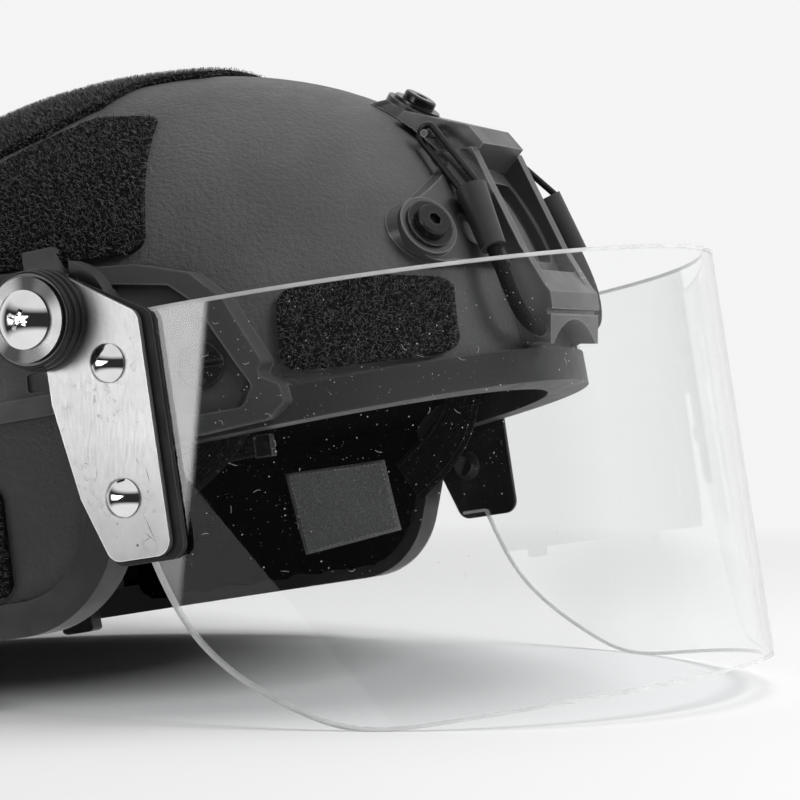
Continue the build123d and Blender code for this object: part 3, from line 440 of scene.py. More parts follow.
@dataclass(frozen=True)
class PaintedShell(Finish):
    """Matt coating with an orange-peel grain, faint clouds and pale specks, made black on its inner side as
    painted shade.
    """

    # The inner side's near-black colour is painted shade of the shell's interior.
    inside: Colour = grey(0.008)
    turnover: float = 0.01
    clouds: Patches = Patches(28, 4)
    tones: Spot = (0.86, 1.12)
    gloss: Patches = Patches(160)
    gloss_swing: Spot = (-0.05, 0.07)
    specks: Specks = Specks(420, 0.05, 0.10, Patches(90, 2, low=0.56, high=0.62))
    speck_share: float = 0.55
    speck_colour: Colour = grey(0.16)
    peel: Bumps = Bumps(600, 3, 0.6, depth=0.00062)
    fine: Bumps = Bumps(1900, 2, depth=0.00014, strength=0.9)
    specular: float = 0.14

    def paint(self, kit: Shades) -> None:
        """Writes the coating.

        Args:
            kit: the material's nodes.
        """
        outside = self.toned(kit, kit.patches(self.clouds), self.tones)
        # Faces turned towards the head take the inside colour: painted shade.
        way = kit.measured_from(FORM.row(0.0, FORM.middle_y, 0.0))
        facing = kit.node("VectorMath", {0: way, 1: kit.normal}, operation="DOT_PRODUCT").outputs["Value"]
        outer = kit.span(facing, (-self.turnover, self.turnover))
        base = kit.blend(outer, self.inside, outside)
        rough = kit.patches(self.gloss, *self.around(self.gloss_swing))
        inward = kit.sums("SUBTRACT", 1.0, outer)
        specks = kit.specks(self.specks, self.speck_share)
        kit.put(Base_Color=kit.blend(specks, base, self.speck_colour), Specular_IOR_Level=self.specular,
                Normal=kit.bumps(self.fine, kit.bumps(self.peel)),
                Roughness=kit.sums("MAXIMUM", rough, inward))


@dataclass(frozen=True)
class Moulding(Finish):
    """Moulded plastic, rubber or anodised metal with fine grain, scuffs and paler edges, worn on most
    mouldings and painted highlight on the shroud.
    """

    edge: float = 0.1
    edge_radius: float = 0.0009
    edge_patches: Patches = Patches(60, 4, low=0.35, high=0.65)
    least_edge: float = 0.35
    grain: Bumps = Bumps(900, depth=0.00008, strength=0.8)
    metal: float = 0.0
    specular: float = 0.25
    clouds: Patches = Patches(35, 4)
    tones: Spot = (0.85, 1.15)
    gloss: Patches = Patches(120)
    gloss_swing: Spot = (-0.06, 0.06)
    scuffs: float = 0.25
    scuff_path: Grain = Grain(70, 2)
    scuff_level: float = 0.5
    scuff_width: float = 0.006
    scuff_places: Patches = Patches(24, 1, low=0.52, high=0.6)
    scuff_colour: Colour = grey(0.14)

    def paint(self, kit: Shades) -> None:
        """Writes the moulding.

        Args:
            kit: the material's nodes.
        """
        # Paler edges: wear, and on the shroud mostly painted highlight.
        worn = kit.times(kit.edges(self.edge_radius), kit.patches(self.edge_patches, self.least_edge))
        base = self.toned(kit, kit.patches(self.clouds), self.tones)
        off_path = kit.sums("ABSOLUTE", kit.sums("SUBTRACT", kit.grain(self.scuff_path), self.scuff_level))
        scuffs = kit.times(kit.span(off_path, (self.scuff_width, 0.0), 0.0, self.scuffs),
                           kit.patches(self.scuff_places))
        scuffed = kit.blend(scuffs, base, self.scuff_colour)
        kit.put(Base_Color=kit.blend(worn, scuffed, grey(self.edge)), Metallic=self.metal,
                Normal=kit.bumps(self.grain), Specular_IOR_Level=self.specular,
                Roughness=kit.patches(self.gloss, *self.around(self.gloss_swing)))


@dataclass(frozen=True)
class Pile(Finish):
    """Black loop pile, dense and curly, with paler tips that are painted sheen."""

    tips: float = 0.06
    curl_scale: float = 760.0
    curl_part: Spot = (0.15, 0.75)
    curl_depth: float = 0.0006
    thin_places: Patches = Patches(240)
    least_tips: float = 0.2
    lumps: Bumps = Bumps(420, 4, 0.7, depth=0.0011)
    specular: float = 0.1

    def paint(self, kit: Shades) -> None:
        """Writes the pile.

        Args:
            kit: the material's nodes.
        """
        curls = kit.cells(self.curl_scale)
        # Paler tips in the curls: painted sheen.
        share = kit.times(kit.span(curls, self.curl_part), kit.patches(self.thin_places, self.least_tips))
        kit.put(Base_Color=kit.blend(share, self.colour, grey(self.tips)), Roughness=self.rough,
                Normal=kit.relief(curls, self.curl_depth, under=kit.bumps(self.lumps)),
                Specular_IOR_Level=self.specular)


@dataclass(frozen=True)
class Metal(Finish):
    """Bare or plated metal with faint lines of polishing."""

    lines: float = 0.04
    least_rough: float = 0.02
    stretch: float = 30.0
    lean: float = math.radians(38)
    polish: Patches = Patches(260, 3, 0.6, low=0.25, high=0.75)
    polish_depth: float = 0.00002
    polish_strength: float = 0.35
    clouds: Patches = Patches(90, 4)
    tones: Spot = (0.88, 1.0)

    def paint(self, kit: Shades) -> None:
        """Writes the metal.

        Args:
            kit: the material's nodes.
        """
        brushed = kit.grain(self.polish, kit.scaled((1.0, self.stretch, 1.0), self.lean))
        low, high = self.around((-self.lines, self.lines))
        part = (self.polish.low, self.polish.high)
        kit.put(Metallic=1.0, Base_Color=self.toned(kit, kit.patches(self.clouds), self.tones),
                Roughness=kit.span(brushed, part, max(self.least_rough, low), high),
                Normal=kit.relief(brushed, self.polish_depth, self.polish_strength))


@dataclass(frozen=True)
class ScratchedPlate(Finish):
    """Satin side plate with nicks, rubbed places and a darker lower end, which is painted shade."""

    metal: float = 0.9
    stretch: float = 9.0
    lean: float = math.radians(35)
    brush: Patches = Patches(210, 4, 0.6, low=0.25, high=0.75)
    brush_depth: float = 0.000015
    brush_strength: float = 0.3
    brush_swing: Spot = (-0.05, 0.07)
    clouds: Patches = Patches(34, 5, 0.6, low=0.32, high=0.68)
    cloud_rough: float = 0.05
    tones: Spot = (0.78, 1.12)
    nicks: Specks = Specks(300, 0.08, 0.16, Patches(75, 2, low=0.6, high=0.66))
    rubs: Patches = Patches(420, 4, 0.7, low=0.55, high=0.7)
    rub_share: float = 0.5
    rub_places: Patches = Patches(50, low=0.5, high=0.62)
    worn_colour: Colour = grey(0.05)
    shade_heights: Spot = (0.045, 0.088)
    most_shade: float = 0.5
    painted_shade_colour: Colour = grey(0.08)
    edge_radius: float = 0.0007
    edge_colour: Colour = grey(0.6)

    def paint(self, kit: Shades) -> None:
        """Writes the plate.

        Args:
            kit: the material's nodes.
        """
        brushed = kit.grain(self.brush, kit.scaled((1.0, self.stretch, 1.0), self.lean))
        clouds = kit.patches(self.clouds)
        rubbed = kit.times(kit.patches(self.rubs, 0.0, self.rub_share), kit.patches(self.rub_places))
        worn = kit.sums("MAXIMUM", rubbed, kit.specks(self.nicks))
        # The plate darkens towards its lower end by height: painted shade.
        height = kit.node("SeparateXYZ", {0: kit.place}).outputs[2]
        shaded_low = kit.blend(kit.span(height, self.shade_heights, self.most_shade, 0.0),
                            self.toned(kit, clouds, self.tones), self.painted_shade_colour)
        marked = kit.blend(worn, shaded_low, self.worn_colour)
        rough = kit.span(brushed, (self.brush.low, self.brush.high), *self.around(self.brush_swing))
        kit.put(Metallic=self.metal,
                Base_Color=kit.blend(kit.edges(self.edge_radius), marked, self.edge_colour),
                Roughness=kit.plus(rough, kit.times(clouds, self.cloud_rough)),
                Normal=kit.relief(brushed, self.brush_depth, self.brush_strength))


@dataclass(frozen=True)
class Strand(Finish):
    """Fibre or thread with hardly any gloss, paler here and there."""

    clouds: Patches = Patches(900, 2)
    tones: Spot = (0.55, 1.4)
    specular: float = 0.1

    def paint(self, kit: Shades) -> None:
        """Writes the fibre."""
        kit.put(Base_Color=self.toned(kit, kit.patches(self.clouds), self.tones), Roughness=self.rough,
                Specular_IOR_Level=self.specular)


@dataclass(frozen=True)
class TurnedWasher(Finish):
    """Turned washer whose colour carries painted highlights in lobes round the pivot."""

    lobes: float = 2.0
    lobe_turn: float = 0.9
    ripples: float = 7.0
    ripple_share: float = 0.25
    tones: Spot = (0.25, 2.2)
    grooves_per_metre: float = 9000.0
    groove_depth: float = 0.00002
    groove_strength: float = 0.4

    def paint(self, kit: Shades) -> None:
        """Writes the washer.

        Args:
            kit: the material's nodes.
        """
        _, along, up = kit.node("SeparateXYZ", {0: kit.measured_from(FORM.row(0.0, *PIVOT))}).outputs
        turn = kit.sums("ARCTAN2", up, along)
        # The bright lobes and ripples in the base colour are painted highlights.
        lobes = kit.sums("SINE", kit.plus(kit.times(turn, self.lobes), self.lobe_turn))
        ripple = kit.times(kit.sums("SINE", kit.times(turn, self.ripples)), self.ripple_share)
        share = kit.span(kit.plus(lobes, ripple), (-1.0, 1.0))
        reach = kit.sums("SQRT", kit.plus(kit.times(along, along), kit.times(up, up)))
        grooves = kit.sums("SINE", kit.times(reach, self.grooves_per_metre))
        kit.put(Metallic=1.0, Roughness=self.rough, Base_Color=self.toned(kit, share, self.tones),
                Normal=kit.relief(grooves, self.groove_depth, self.groove_strength))


@dataclass(frozen=True)
class ClearShield(Finish):
    """Clear sheet that lets the lamps through, with a little haze."""

    haze: Patches = Patches(30, 4, low=0.35, high=0.75)
    most_haze: float = 0.035
    refraction: float = 1.49
    specular: float = 0.5
    tint: Colour = (0.96, 0.965, 0.97)

    def paint(self, kit: Shades) -> None:
        """Writes the sheet.

        Args:
            kit: the material's nodes.
        """
        kit.put(Base_Color=self.colour, Transmission_Weight=1.0, IOR=self.refraction,
                Specular_IOR_Level=self.specular,
                Roughness=kit.patches(self.haze, *self.around((0.0, self.most_haze))))
        clear = kit.node("BsdfTransparent", {"Color": (*self.tint, 1.0)})
        rays = kit.node("LightPath", {}).outputs
        unseen = kit.sums("MAXIMUM", rays["Is Shadow Ray"], rays["Is Diffuse Ray"])
        kit.show(kit.node("MixShader", {0: unseen, 1: kit.shader.outputs[0], 2: clear.outputs[0]}))


@dataclass(frozen=True)
class FrostedEdgeAndHighlight(Finish):
    """Pale band on the clear sheet's cut edges: partly the sawn, frosted edge and partly painted highlight of
    the light it gathers.
    """

    dull: Colour = grey(0.8)
    sawn: Patches = Patches(160, low=0.35, high=0.65)
    grooves: Bumps = Bumps(900, 2, depth=0.00004, strength=0.5)
    passed: float = 0.12
    refraction: float = 1.3
    cover: float = 0.55

    def paint(self, kit: Shades) -> None:
        """Writes the edge."""
        kit.put(Base_Color=kit.blend(kit.patches(self.sawn), self.dull, self.colour), Roughness=self.rough,
                Normal=kit.bumps(self.grooves), Transmission_Weight=self.passed, IOR=self.refraction,
                Alpha=self.cover)


@dataclass(frozen=True)
class Woven(Finish):
    """Webbing woven along its length, read from the strap's own map of length and width in mm."""

    pick: float = 1.0
    rib: float = 1.4
    fills: Spot = (0.4, 0.3)
    tones: Spot = (1.0, 2.2)
    weave_depth: float = 0.00025
    weave_strength: float = 0.9
    lint: Patches = Patches(300, low=0.62, high=0.72)
    lint_share: float = 0.5
    lint_colour: Colour = grey(0.09)
    sheen: float = 0.03
    sheen_rough: float = 0.5
    specular: float = 0.05

    def paint(self, kit: Shades) -> None:
        """Writes the weave.

        Args:
            kit: the material's nodes.
        """
        drawn = kit.node("UVMap", {}, uv_map="weave").outputs[0]
        split = kit.node("SeparateXYZ", {0: drawn}).outputs
        waves = []
        for output, pitch, fill in zip(split, (self.pick, self.rib), self.fills):
            wave = kit.sums("SINE", kit.times(output, math.tau / pitch))
            waves.append(kit.plus(kit.span(wave, (-1.0, 1.0)), fill))
        weave = kit.times(*waves)
        woven = self.toned(kit, weave, self.tones)
        kit.put(Base_Color=kit.blend(kit.patches(self.lint, 0.0, self.lint_share), woven, self.lint_colour),
                Roughness=self.rough, Normal=kit.relief(weave, self.weave_depth, self.weave_strength),
                Sheen_Weight=self.sheen, Sheen_Roughness=self.sheen_rough, Specular_IOR_Level=self.specular)


@dataclass(frozen=True)
class Cloth(Finish):
    """Knitted or brushed cloth with a fine grain, soft wrinkles and lint."""

    knit: float = 900.0
    knit_part: Spot = (0.1, 0.8)
    knit_depth: float = 0.0002
    knit_strength: float = 0.8
    tones: Spot = (1.0, 1.9)
    wrinkles: Bumps = Bumps(55, 3, 0.55, depth=0.0014, strength=0.6)
    lint: float = 0.25
    lint_specks: Specks = Specks(330, 0.07, 0.13, Patches(60, 2, low=0.45, high=0.6))
    lint_colour: Colour = grey(0.3)
    sheen: float = 0.02
    sheen_rough: float = 0.45
    specular: float = 0.0

    def paint(self, kit: Shades) -> None:
        """Writes the cloth.

        Args:
            kit: the material's nodes.
        """
        knit = kit.cells(self.knit)
        base = self.toned(kit, kit.span(knit, self.knit_part), self.tones)
        dusty = kit.blend(kit.specks(self.lint_specks, self.lint), base, self.lint_colour)
        normal = kit.relief(knit, self.knit_depth, self.knit_strength, kit.bumps(self.wrinkles))
        kit.put(Base_Color=dusty, Roughness=self.rough, Normal=normal, Sheen_Weight=self.sheen,
                Sheen_Roughness=self.sheen_rough, Specular_IOR_Level=self.specular)


POLISHED = Bumps(900, depth=0.00001, strength=0.8)
BLASTED = Bumps(1500, depth=0.00004, strength=0.8)

SHELL = PaintedShell("matt_shell_coating", "shell_coating", grey(0.090), 0.50)
TRIM = Moulding("trim_rubber", "rubber", grey(0.026), 0.48, edge=0.07, scuffs=0.1)
GASKET = Moulding("gasket_rubber", "rubber", grey(0.006), 0.55, edge=0.12, edge_radius=0.0005, scuffs=0.0)
SLEEVE = Moulding("sleeve_rubber", "rubber", grey(0.040), 0.42, edge=0.06, scuffs=0.0)
PILE = Pile("loop_pile_black", "loop_pile", grey(0.003), 0.95, tips=0.02)
# The fibres are much paler than the black pile: painted sheen.
FIBRE = Strand("loop_fibre", "loop_pile", grey(0.15), 0.6)
RAIL = Moulding("rail_moulding", "rail_plastic", grey(0.050), 0.42, edge=0.15, edge_radius=0.0012)
FITTING = Moulding("fitting_moulding", "fitting_plastic", grey(0.034), 0.4, edge=0.09)
RINGS = Moulding("ring_moulding", "ring_plastic", grey(0.012), 0.16, edge=0.05, grain=POLISHED, scuffs=0.1)
# The shroud's pale edges are partly wear and mostly painted highlight.
SHROUD = Moulding("anodised_frame", "black_aluminium", grey(0.072), 0.36, edge=0.3, metal=0.25, grain=BLASTED)
DARK_STEEL = Moulding("blackened_steel", "black_steel", grey(0.025), 0.26, edge=0.16, metal=0.55,
                      grain=POLISHED, scuffs=0.2)
CHROME = Metal("chromed_steel_bright", "chromed_steel", grey(0.82), 0.06)
WASHER = TurnedWasher("washer_steel_satin", "washer_steel", grey(0.12), 0.36)
PLATE = ScratchedPlate("plate_steel_satin", "plate_steel", grey(0.46), 0.42)
SHIELD = ClearShield("clear_shield_sheet", "clear_shield", (0.985, 0.99, 0.99), 0.0)
WEBBING = Woven("black_webbing", "webbing", grey(0.008), 0.8)
CORD = Cloth("elastic_cord_cover", "webbing", grey(0.012), 0.75, knit=1700.0, lint=0.0)
PADDING = Cloth("pad_cloth", "padding", grey(0.006), 0.9)
LINER = Cloth("liner_cloth", "padding", grey(0.0028), 0.95, knit=1200.0, lint=0.4)
LABEL = Cloth("label_cloth_bare", "label_cloth", grey(0.27), 0.8, knit=1500.0, lint=0.0)
THREAD = Strand("black_thread", "webbing", grey(0.04), 0.6)
PALE_THREAD = Strand("pale_thread", "label_cloth", grey(0.65), 0.6)
# The pale edge band is partly frosted edge and partly painted highlight.
CUT_EDGE = FrostedEdgeAndHighlight("shield_cut_edge", "clear_shield", grey(0.93), 0.25)
DARK_MARK = Finish("plate_scratch_dark", "plate_steel", grey(0.03), 0.5)
PALE_MARK = Finish("plate_scratch_pale", "plate_steel", grey(0.62), 0.4)
DUST = Finish("shield_dust", "clear_shield", grey(0.75), 0.8)

NODE_FINISHES: dict[Finish, tuple[str, ...]] = {
    SHELL: ("shell",),
    TRIM: ("edge_trim",),
    GASKET: ("plate_gasket_right", "plate_gasket_left"),
    SLEEVE: ("cord_sleeve_right", "cord_sleeve_left"),
    RAIL: ("rail_right", "rail_left"),
    FITTING: ("adapter_right", "adapter_left", "release_tab_right", "release_tab_left", "chin_cup",
              "strap_buckle", "nape_sliders"),
    RINGS: ("friction_rings_right", "friction_rings_left"),
    SHROUD: ("shroud_frame",),
    DARK_STEEL: ("rail_screws", "anchor_studs", "shroud_bolts", "shroud_washers", "bungee_hook_right",
                 "bungee_hook_left", "tail_clip"),
    CHROME: ("pivot_screws", "plate_rivets"),
    WASHER: ("pivot_washers", "rivet_washers"),
    PLATE: ("side_plate_right", "side_plate_left"),
    SHIELD: ("visor_lens",),
    PILE: ("crown_loop", "rear_loop", "side_loop_right", "side_loop_left", "front_loop_right",
           "front_loop_left", "ear_loop_right", "ear_loop_left"),
    WEBBING: ("front_strap_right", "front_strap_left", "rear_strap_right", "rear_strap_left", "strap_tail",
              "chin_strap"),
    CORD: ("bungee_cord_right", "bungee_cord_left"),
    PADDING: ("side_pads_right", "side_pads_left", "crown_pad", "front_pad", "rear_pad"),
    LINER: ("ear_liner_right", "ear_liner_left"),
    LABEL: ("label_patch",),
}


def dress_nodes() -> None:
    """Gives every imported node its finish."""
    for finish, names in NODE_FINISHES.items():
        for name in names:
            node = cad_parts[name]
            if not node.material_slots:
                node.data.materials.append(None)
            for place in node.material_slots:
                place.material = finish.material()
            LOG.info("node %s: %s", name, finish.name)


def linked(name: str, data: bpy.types.ID) -> bpy.types.Object:
    """Puts an object with its data in the scene.

    Args:
        name: the object's name.
        data: its mesh, curve, light or camera.

    Returns:
        The object.
    """
    made = bpy.data.objects.new(name, data)
    bpy.context.scene.collection.objects.link(made)
    return made


def smooth_faces(mesh: bpy.types.Mesh) -> None:
    """Shades a mesh smooth."""
    for face in mesh.polygons:
        face.use_smooth = True


def new_piece(name: str, mesh: bpy.types.Mesh, finish: Finish, body: Body) -> bpy.types.Object:
    """Puts a mesh in the scene as a piece of the helmet.

    Args:
        name: the piece's name.
        mesh: its mesh, in place in the row frame.
        finish: its finish.
        body: the body it rides on.

    Returns:
        The object.
    """
    piece = linked(name, mesh)
    mesh.materials.clear()
    mesh.materials.append(finish.material())
    smooth_faces(mesh)
    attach(piece, body.value)
    LOG.info("piece %s: %d faces, %s", name, len(mesh.polygons), finish.name)
    return piece


def mesh_of(name: str, points: list, faces: list) -> bpy.types.Mesh:
    """Makes a mesh.

    Args:
        name: its name.
        points: its points, in metres.
        faces: its faces, by the numbers of their points.

    Returns:
        The mesh.
    """
    mesh = bpy.data.meshes.new(name)
    mesh.from_pydata([tuple(point) for point in points], [], faces)
    mesh.validate()
    return mesh


def faced_outwards(mesh: bpy.types.Mesh) -> bpy.types.Mesh:
    """Turns the faces of a closed mesh outwards.

    Args:
        mesh: the mesh.

    Returns:
        The same mesh.
    """
    made = bmesh.new()
    made.from_mesh(mesh)
    bmesh.ops.recalc_face_normals(made, faces=made.faces)
    made.to_mesh(mesh)
    made.free()
    return mesh


def joined(name: str, meshes: list[bpy.types.Mesh]) -> bpy.types.Mesh:
    """One mesh of several.

    Args:
        name: its name.
        meshes: the meshes.

    Returns:
        The mesh.
    """
    made = bmesh.new()
    for mesh in meshes:
        made.from_mesh(mesh)
    whole = bpy.data.meshes.new(name)
    made.to_mesh(whole)
    made.free()
    return whole


def shown_mesh(piece: bpy.types.Object) -> bpy.types.Mesh:
    """An object's mesh as its modifiers leave it.

    Args:
        piece: the object.

    Returns:
        A new mesh.
    """
    graph = bpy.context.evaluated_depsgraph_get()
    graph.update()
    return bpy.data.meshes.new_from_object(piece.evaluated_get(graph))


@dataclass
class LoopPile:
    """Hook-and-loop panels: a lumpy ground with curled fibres standing on it."""

    nodes: tuple[str, ...] = NODE_FINISHES[PILE]
    lump: float = 0.00022
    lump_scale: float = 900.0
    fibres_per_mm2: float = 0.85
    least_facing: float = 0.25
    centre_z: float = 10.0
    fibre_width: float = 0.00015
    fibre_lean: Spot = (0.8, 0.35)
    fibre_height: float = 0.0013
    height_shares: Spot = (0.35, 1.0)
    fibre_span: float = 0.0014
    span_shares: Spot = (0.5, 1.2)
    sway_share: float = 0.5
    sway_turns: float = 1.5
    fibre_steps: int = 4
    seed: int = 11

    def ground(self, node: bpy.types.Object) -> bpy.types.Mesh:
        """Copies a panel's mesh and makes its face lumpy.

        Args:
            node: the panel's node.

        Returns:
            The mesh.
        """
        mesh = node.data.copy()
        shifts = [vertex.normal * (noise.noise(vertex.co * self.lump_scale) * self.lump)
                  for vertex in mesh.vertices]
        for vertex, shift in zip(mesh.vertices, shifts):
            vertex.co += shift
        return mesh

    def fibres(self, node: bpy.types.Object, draw: random.Random) -> tuple[list, list]:
        """Curled fibres over the outer face of a panel.

        Args:
            node: the panel's node.
            draw: the source of random numbers.

        Returns:
            Points and faces.
        """
        mesh = node.data
        mesh.calc_loop_triangles()
        points, faces = [], []
        centre = FORM.row(0.0, FORM.middle_y, self.centre_z)
        for tri in mesh.loop_triangles:
            corners = [mesh.vertices[i].co for i in tri.vertices]
            normal = Vector(tri.normal)
            middle = (corners[0] + corners[1] + corners[2]) / 3
            if normal.dot((middle - centre).normalized()) < self.least_facing:
                continue
            wanted = tri.area / MM ** 2 * self.fibres_per_mm2
            count = int(wanted) + (draw.random() < wanted - int(wanted))
            for _ in range(count):
                a, b = draw.random(), draw.random()
                if a + b > 1:
                    a, b = 1 - a, 1 - b
                foot = corners[0] + (corners[1] - corners[0]) * a + (corners[2] - corners[0]) * b
                self.curl(foot, normal, draw, points, faces)
        return points, faces

    def curl(self, foot: Vector, normal: Vector, draw: random.Random, points: list, faces: list) -> None:
        """Adds one curled fibre, a narrow bent strip.

        Args:
            foot: the point of the ground under its middle.
            normal: the ground's normal.
            draw: the source of random numbers.
            points: the points so far.
            faces: the faces so far.
        """
        along = normal.orthogonal().normalized()
        along = Matrix.Rotation(draw.uniform(0, math.tau), 3, normal) @ along
        across = normal.cross(along)
        height = self.fibre_height * draw.uniform(*self.height_shares)
        reach = self.fibre_span * draw.uniform(*self.span_shares)
        bend = draw.uniform(-1.0, 1.0)
        width = (across * self.fibre_lean[0] + normal * self.fibre_lean[1] * bend) * self.fibre_width / 2
        start = len(points)
        for step in range(self.fibre_steps + 1):
            share = step / self.fibre_steps
            rise = math.sin(math.pi * share) * height
            sway = bend * reach * self.sway_share * math.sin(math.pi * share * self.sway_turns)
            spot = foot + along * (share - 0.5) * reach + normal * rise + across * sway
            points += [spot - width, spot + width]
            if step:
                base = start + 2 * step
                faces.append((base - 2, base, base + 1, base - 1))

    def build(self) -> None:
        """Builds every panel and stands it in for its node."""
        for place, name in enumerate(self.nodes):
            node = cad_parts[name]
            draw = random.Random(self.seed + place)
            panel = new_piece("pile_" + name, self.ground(node), PILE, Body.HELMET)
            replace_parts(panel, name)
            points, faces = self.fibres(node, draw)
            new_piece("fibres_" + name, mesh_of("fibres_" + name, points, faces), FIBRE, Body.HELMET)


@dataclass
class Padding:
    """Foam pads and ear liners under cloth, filled by a cloth simulation inside their own space."""

    pads: tuple[str, ...] = NODE_FINISHES[PADDING]
    liners: tuple[str, ...] = NODE_FINISHES[LINER]
    pad_voxel: float = 0.0036
    liner_voxel: float = 0.0024
    start_shrink: float = 0.0011
    pad_growth: Spot = (-25.6, -8.85)
    liner_growth: Spot = (-13.95, -8.85)
    pad_fill: float = 0.7
    liner_fill: float = 0.5
    pressure: float = 4.0
    stiffness: float = 20.0
    quality: int = 4
    frames: int = 20
    most: float = 0.0035

    def filled(self, name: str, voxel: float, growth: Spot) -> bpy.types.Object:
        """A pad swollen from its node's solid.

        Args:
            name: the node.
            voxel: the size of the remesh.
            growth: the least and most distance outside the dome that it may take.

        Returns:
            The pad's object.
        """
        finish = PADDING if name in self.pads else LINER
        piece = new_piece("cloth_" + name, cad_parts[name].data.copy(), finish, Body.HELMET)
        remesh = piece.modifiers.new("even", "REMESH")
        remesh.mode = "VOXEL"
        remesh.voxel_size = voxel
        self.keep_modifiers(piece)
        rest = [vertex.co - vertex.normal * self.start_shrink for vertex in piece.data.vertices]
        for vertex, spot in zip(piece.data.vertices, rest):
            vertex.co = spot
        self.swell(piece, rest)
        self.hold_in(piece, growth)
        smooth = piece.modifiers.new("fine", "SUBSURF")
        smooth.levels = smooth.render_levels = 1
        self.keep_modifiers(piece)
        smooth_faces(piece.data)
        return piece

    def swell(self, piece: bpy.types.Object, rest: list[Vector]) -> None:
        """Runs the cloth under pressure and caps how far a point moves.

        Args:
            piece: the pad.
            rest: its points before.
        """
        scene = bpy.context.scene
        cloth = piece.modifiers.new("cloth", "CLOTH")
        cloth.settings.use_pressure = True
        cloth.settings.uniform_pressure_force = self.pressure
        cloth.settings.effector_weights.gravity = 0.0
        cloth.settings.tension_stiffness = cloth.settings.compression_stiffness = self.stiffness
        cloth.settings.quality = self.quality
        cloth.point_cache.frame_start, cloth.point_cache.frame_end = 1, self.frames
        for step in range(1, self.frames + 1):
            scene.frame_set(step)
        self.keep_modifiers(piece)
        scene.frame_set(1)
        for vertex, start in zip(piece.data.vertices, rest):
            move = vertex.co - start
            if move.length > self.most:
                vertex.co = start + move * (self.most / move.length)

    def hold_in(self, piece: bpy.types.Object, growth: Spot) -> None:
        """Brings points that left the pad's own layer back to it.

        Args:
            piece: the pad.
            growth: the least and most distance outside the dome.
        """
        centre = FORM.row(0.0, FORM.middle_y, 0.0)
        for vertex in piece.data.vertices:
            value = FORM.growth_at(*FORM.drawn(vertex.co))
            wanted = min(max(value, growth[0]), growth[1])
            if wanted != value:
                reach = FORM.half_width
                vertex.co = centre + (vertex.co - centre) * ((reach + wanted) / (reach + value))

    def keep_modifiers(self, piece: bpy.types.Object) -> None:
        """Writes the modifiers' result into the mesh.

        Args:
            piece: the pad.
        """
        mesh = shown_mesh(piece)
        piece.modifiers.clear()
        piece.data = mesh

    def build(self) -> None:
        """Builds every pad and liner and stands it in for its node."""
        groups = ((self.pads, self.pad_voxel, self.pad_growth, self.pad_fill),
                  (self.liners, self.liner_voxel, self.liner_growth, self.liner_fill))
        for names, voxel, growth, fill in groups:
            for name in names:
                piece = self.filled(name, voxel, growth)
                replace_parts(piece, name)


@dataclass
class Seam:
    """Stitches along lines of the side view, each a short pointed bead of thread."""

    side: Side
    growth: float
    stitch: float = 1.5
    pitch: float = 2.2
    spare: float = 0.0
    half_thread: float = 0.00022
    shortest: float = 1e-6
    sides: int = 4
    shoulders: Spot = (0.25, 0.75)
    points: list = field(default_factory=list)
    faces: list = field(default_factory=list)

    def sew(self, line: list[Vector]) -> None:
        """Sews along a line.

        Args:
            line: its points in side view, in mm.
        """
        for a, b in zip(line, line[1:]):
            length = (b - a).length
            place = 0.0
            while place < length - self.spare:
                ends = (a.lerp(b, place / length), a.lerp(b, min(1.0, (place + self.stitch) / length)))
                self.bead(*(FORM.on_side(self.side, end.x, end.y, self.growth) for end in ends))
                place += self.pitch

    def bead(self, start: Vector, end: Vector) -> None:
        """Adds one stitch.

        Args:
            start: the point where it comes up, in metres.
            end: the point where it goes in.
        """
        way = end - start
        if way.length < self.shortest:
            return
        out = way.normalized().orthogonal() * self.half_thread
        other = way.normalized().cross(out)
        base, count = len(self.points), self.sides
        self.points.append(start)
        for share in self.shoulders:
            for k in range(count):
                angle = math.tau * k / count
                self.points.append(start + way * share + out * math.cos(angle) + other * math.sin(angle))
        self.points.append(end)
        near, far = base + 1, base + 1 + count
        for k in range(count):
            after = (k + 1) % count
            self.faces.append((base, near + after, near + k))
            self.faces.append((near + k, near + after, far + after, far + k))
            self.faces.append((far + k, far + after, far + count))

    def piece(self, name: str, finish: Finish) -> bpy.types.Object:
        """Puts the seam in the scene."""
        return new_piece(name, mesh_of(name, self.points, self.faces), finish, Body.HELMET)


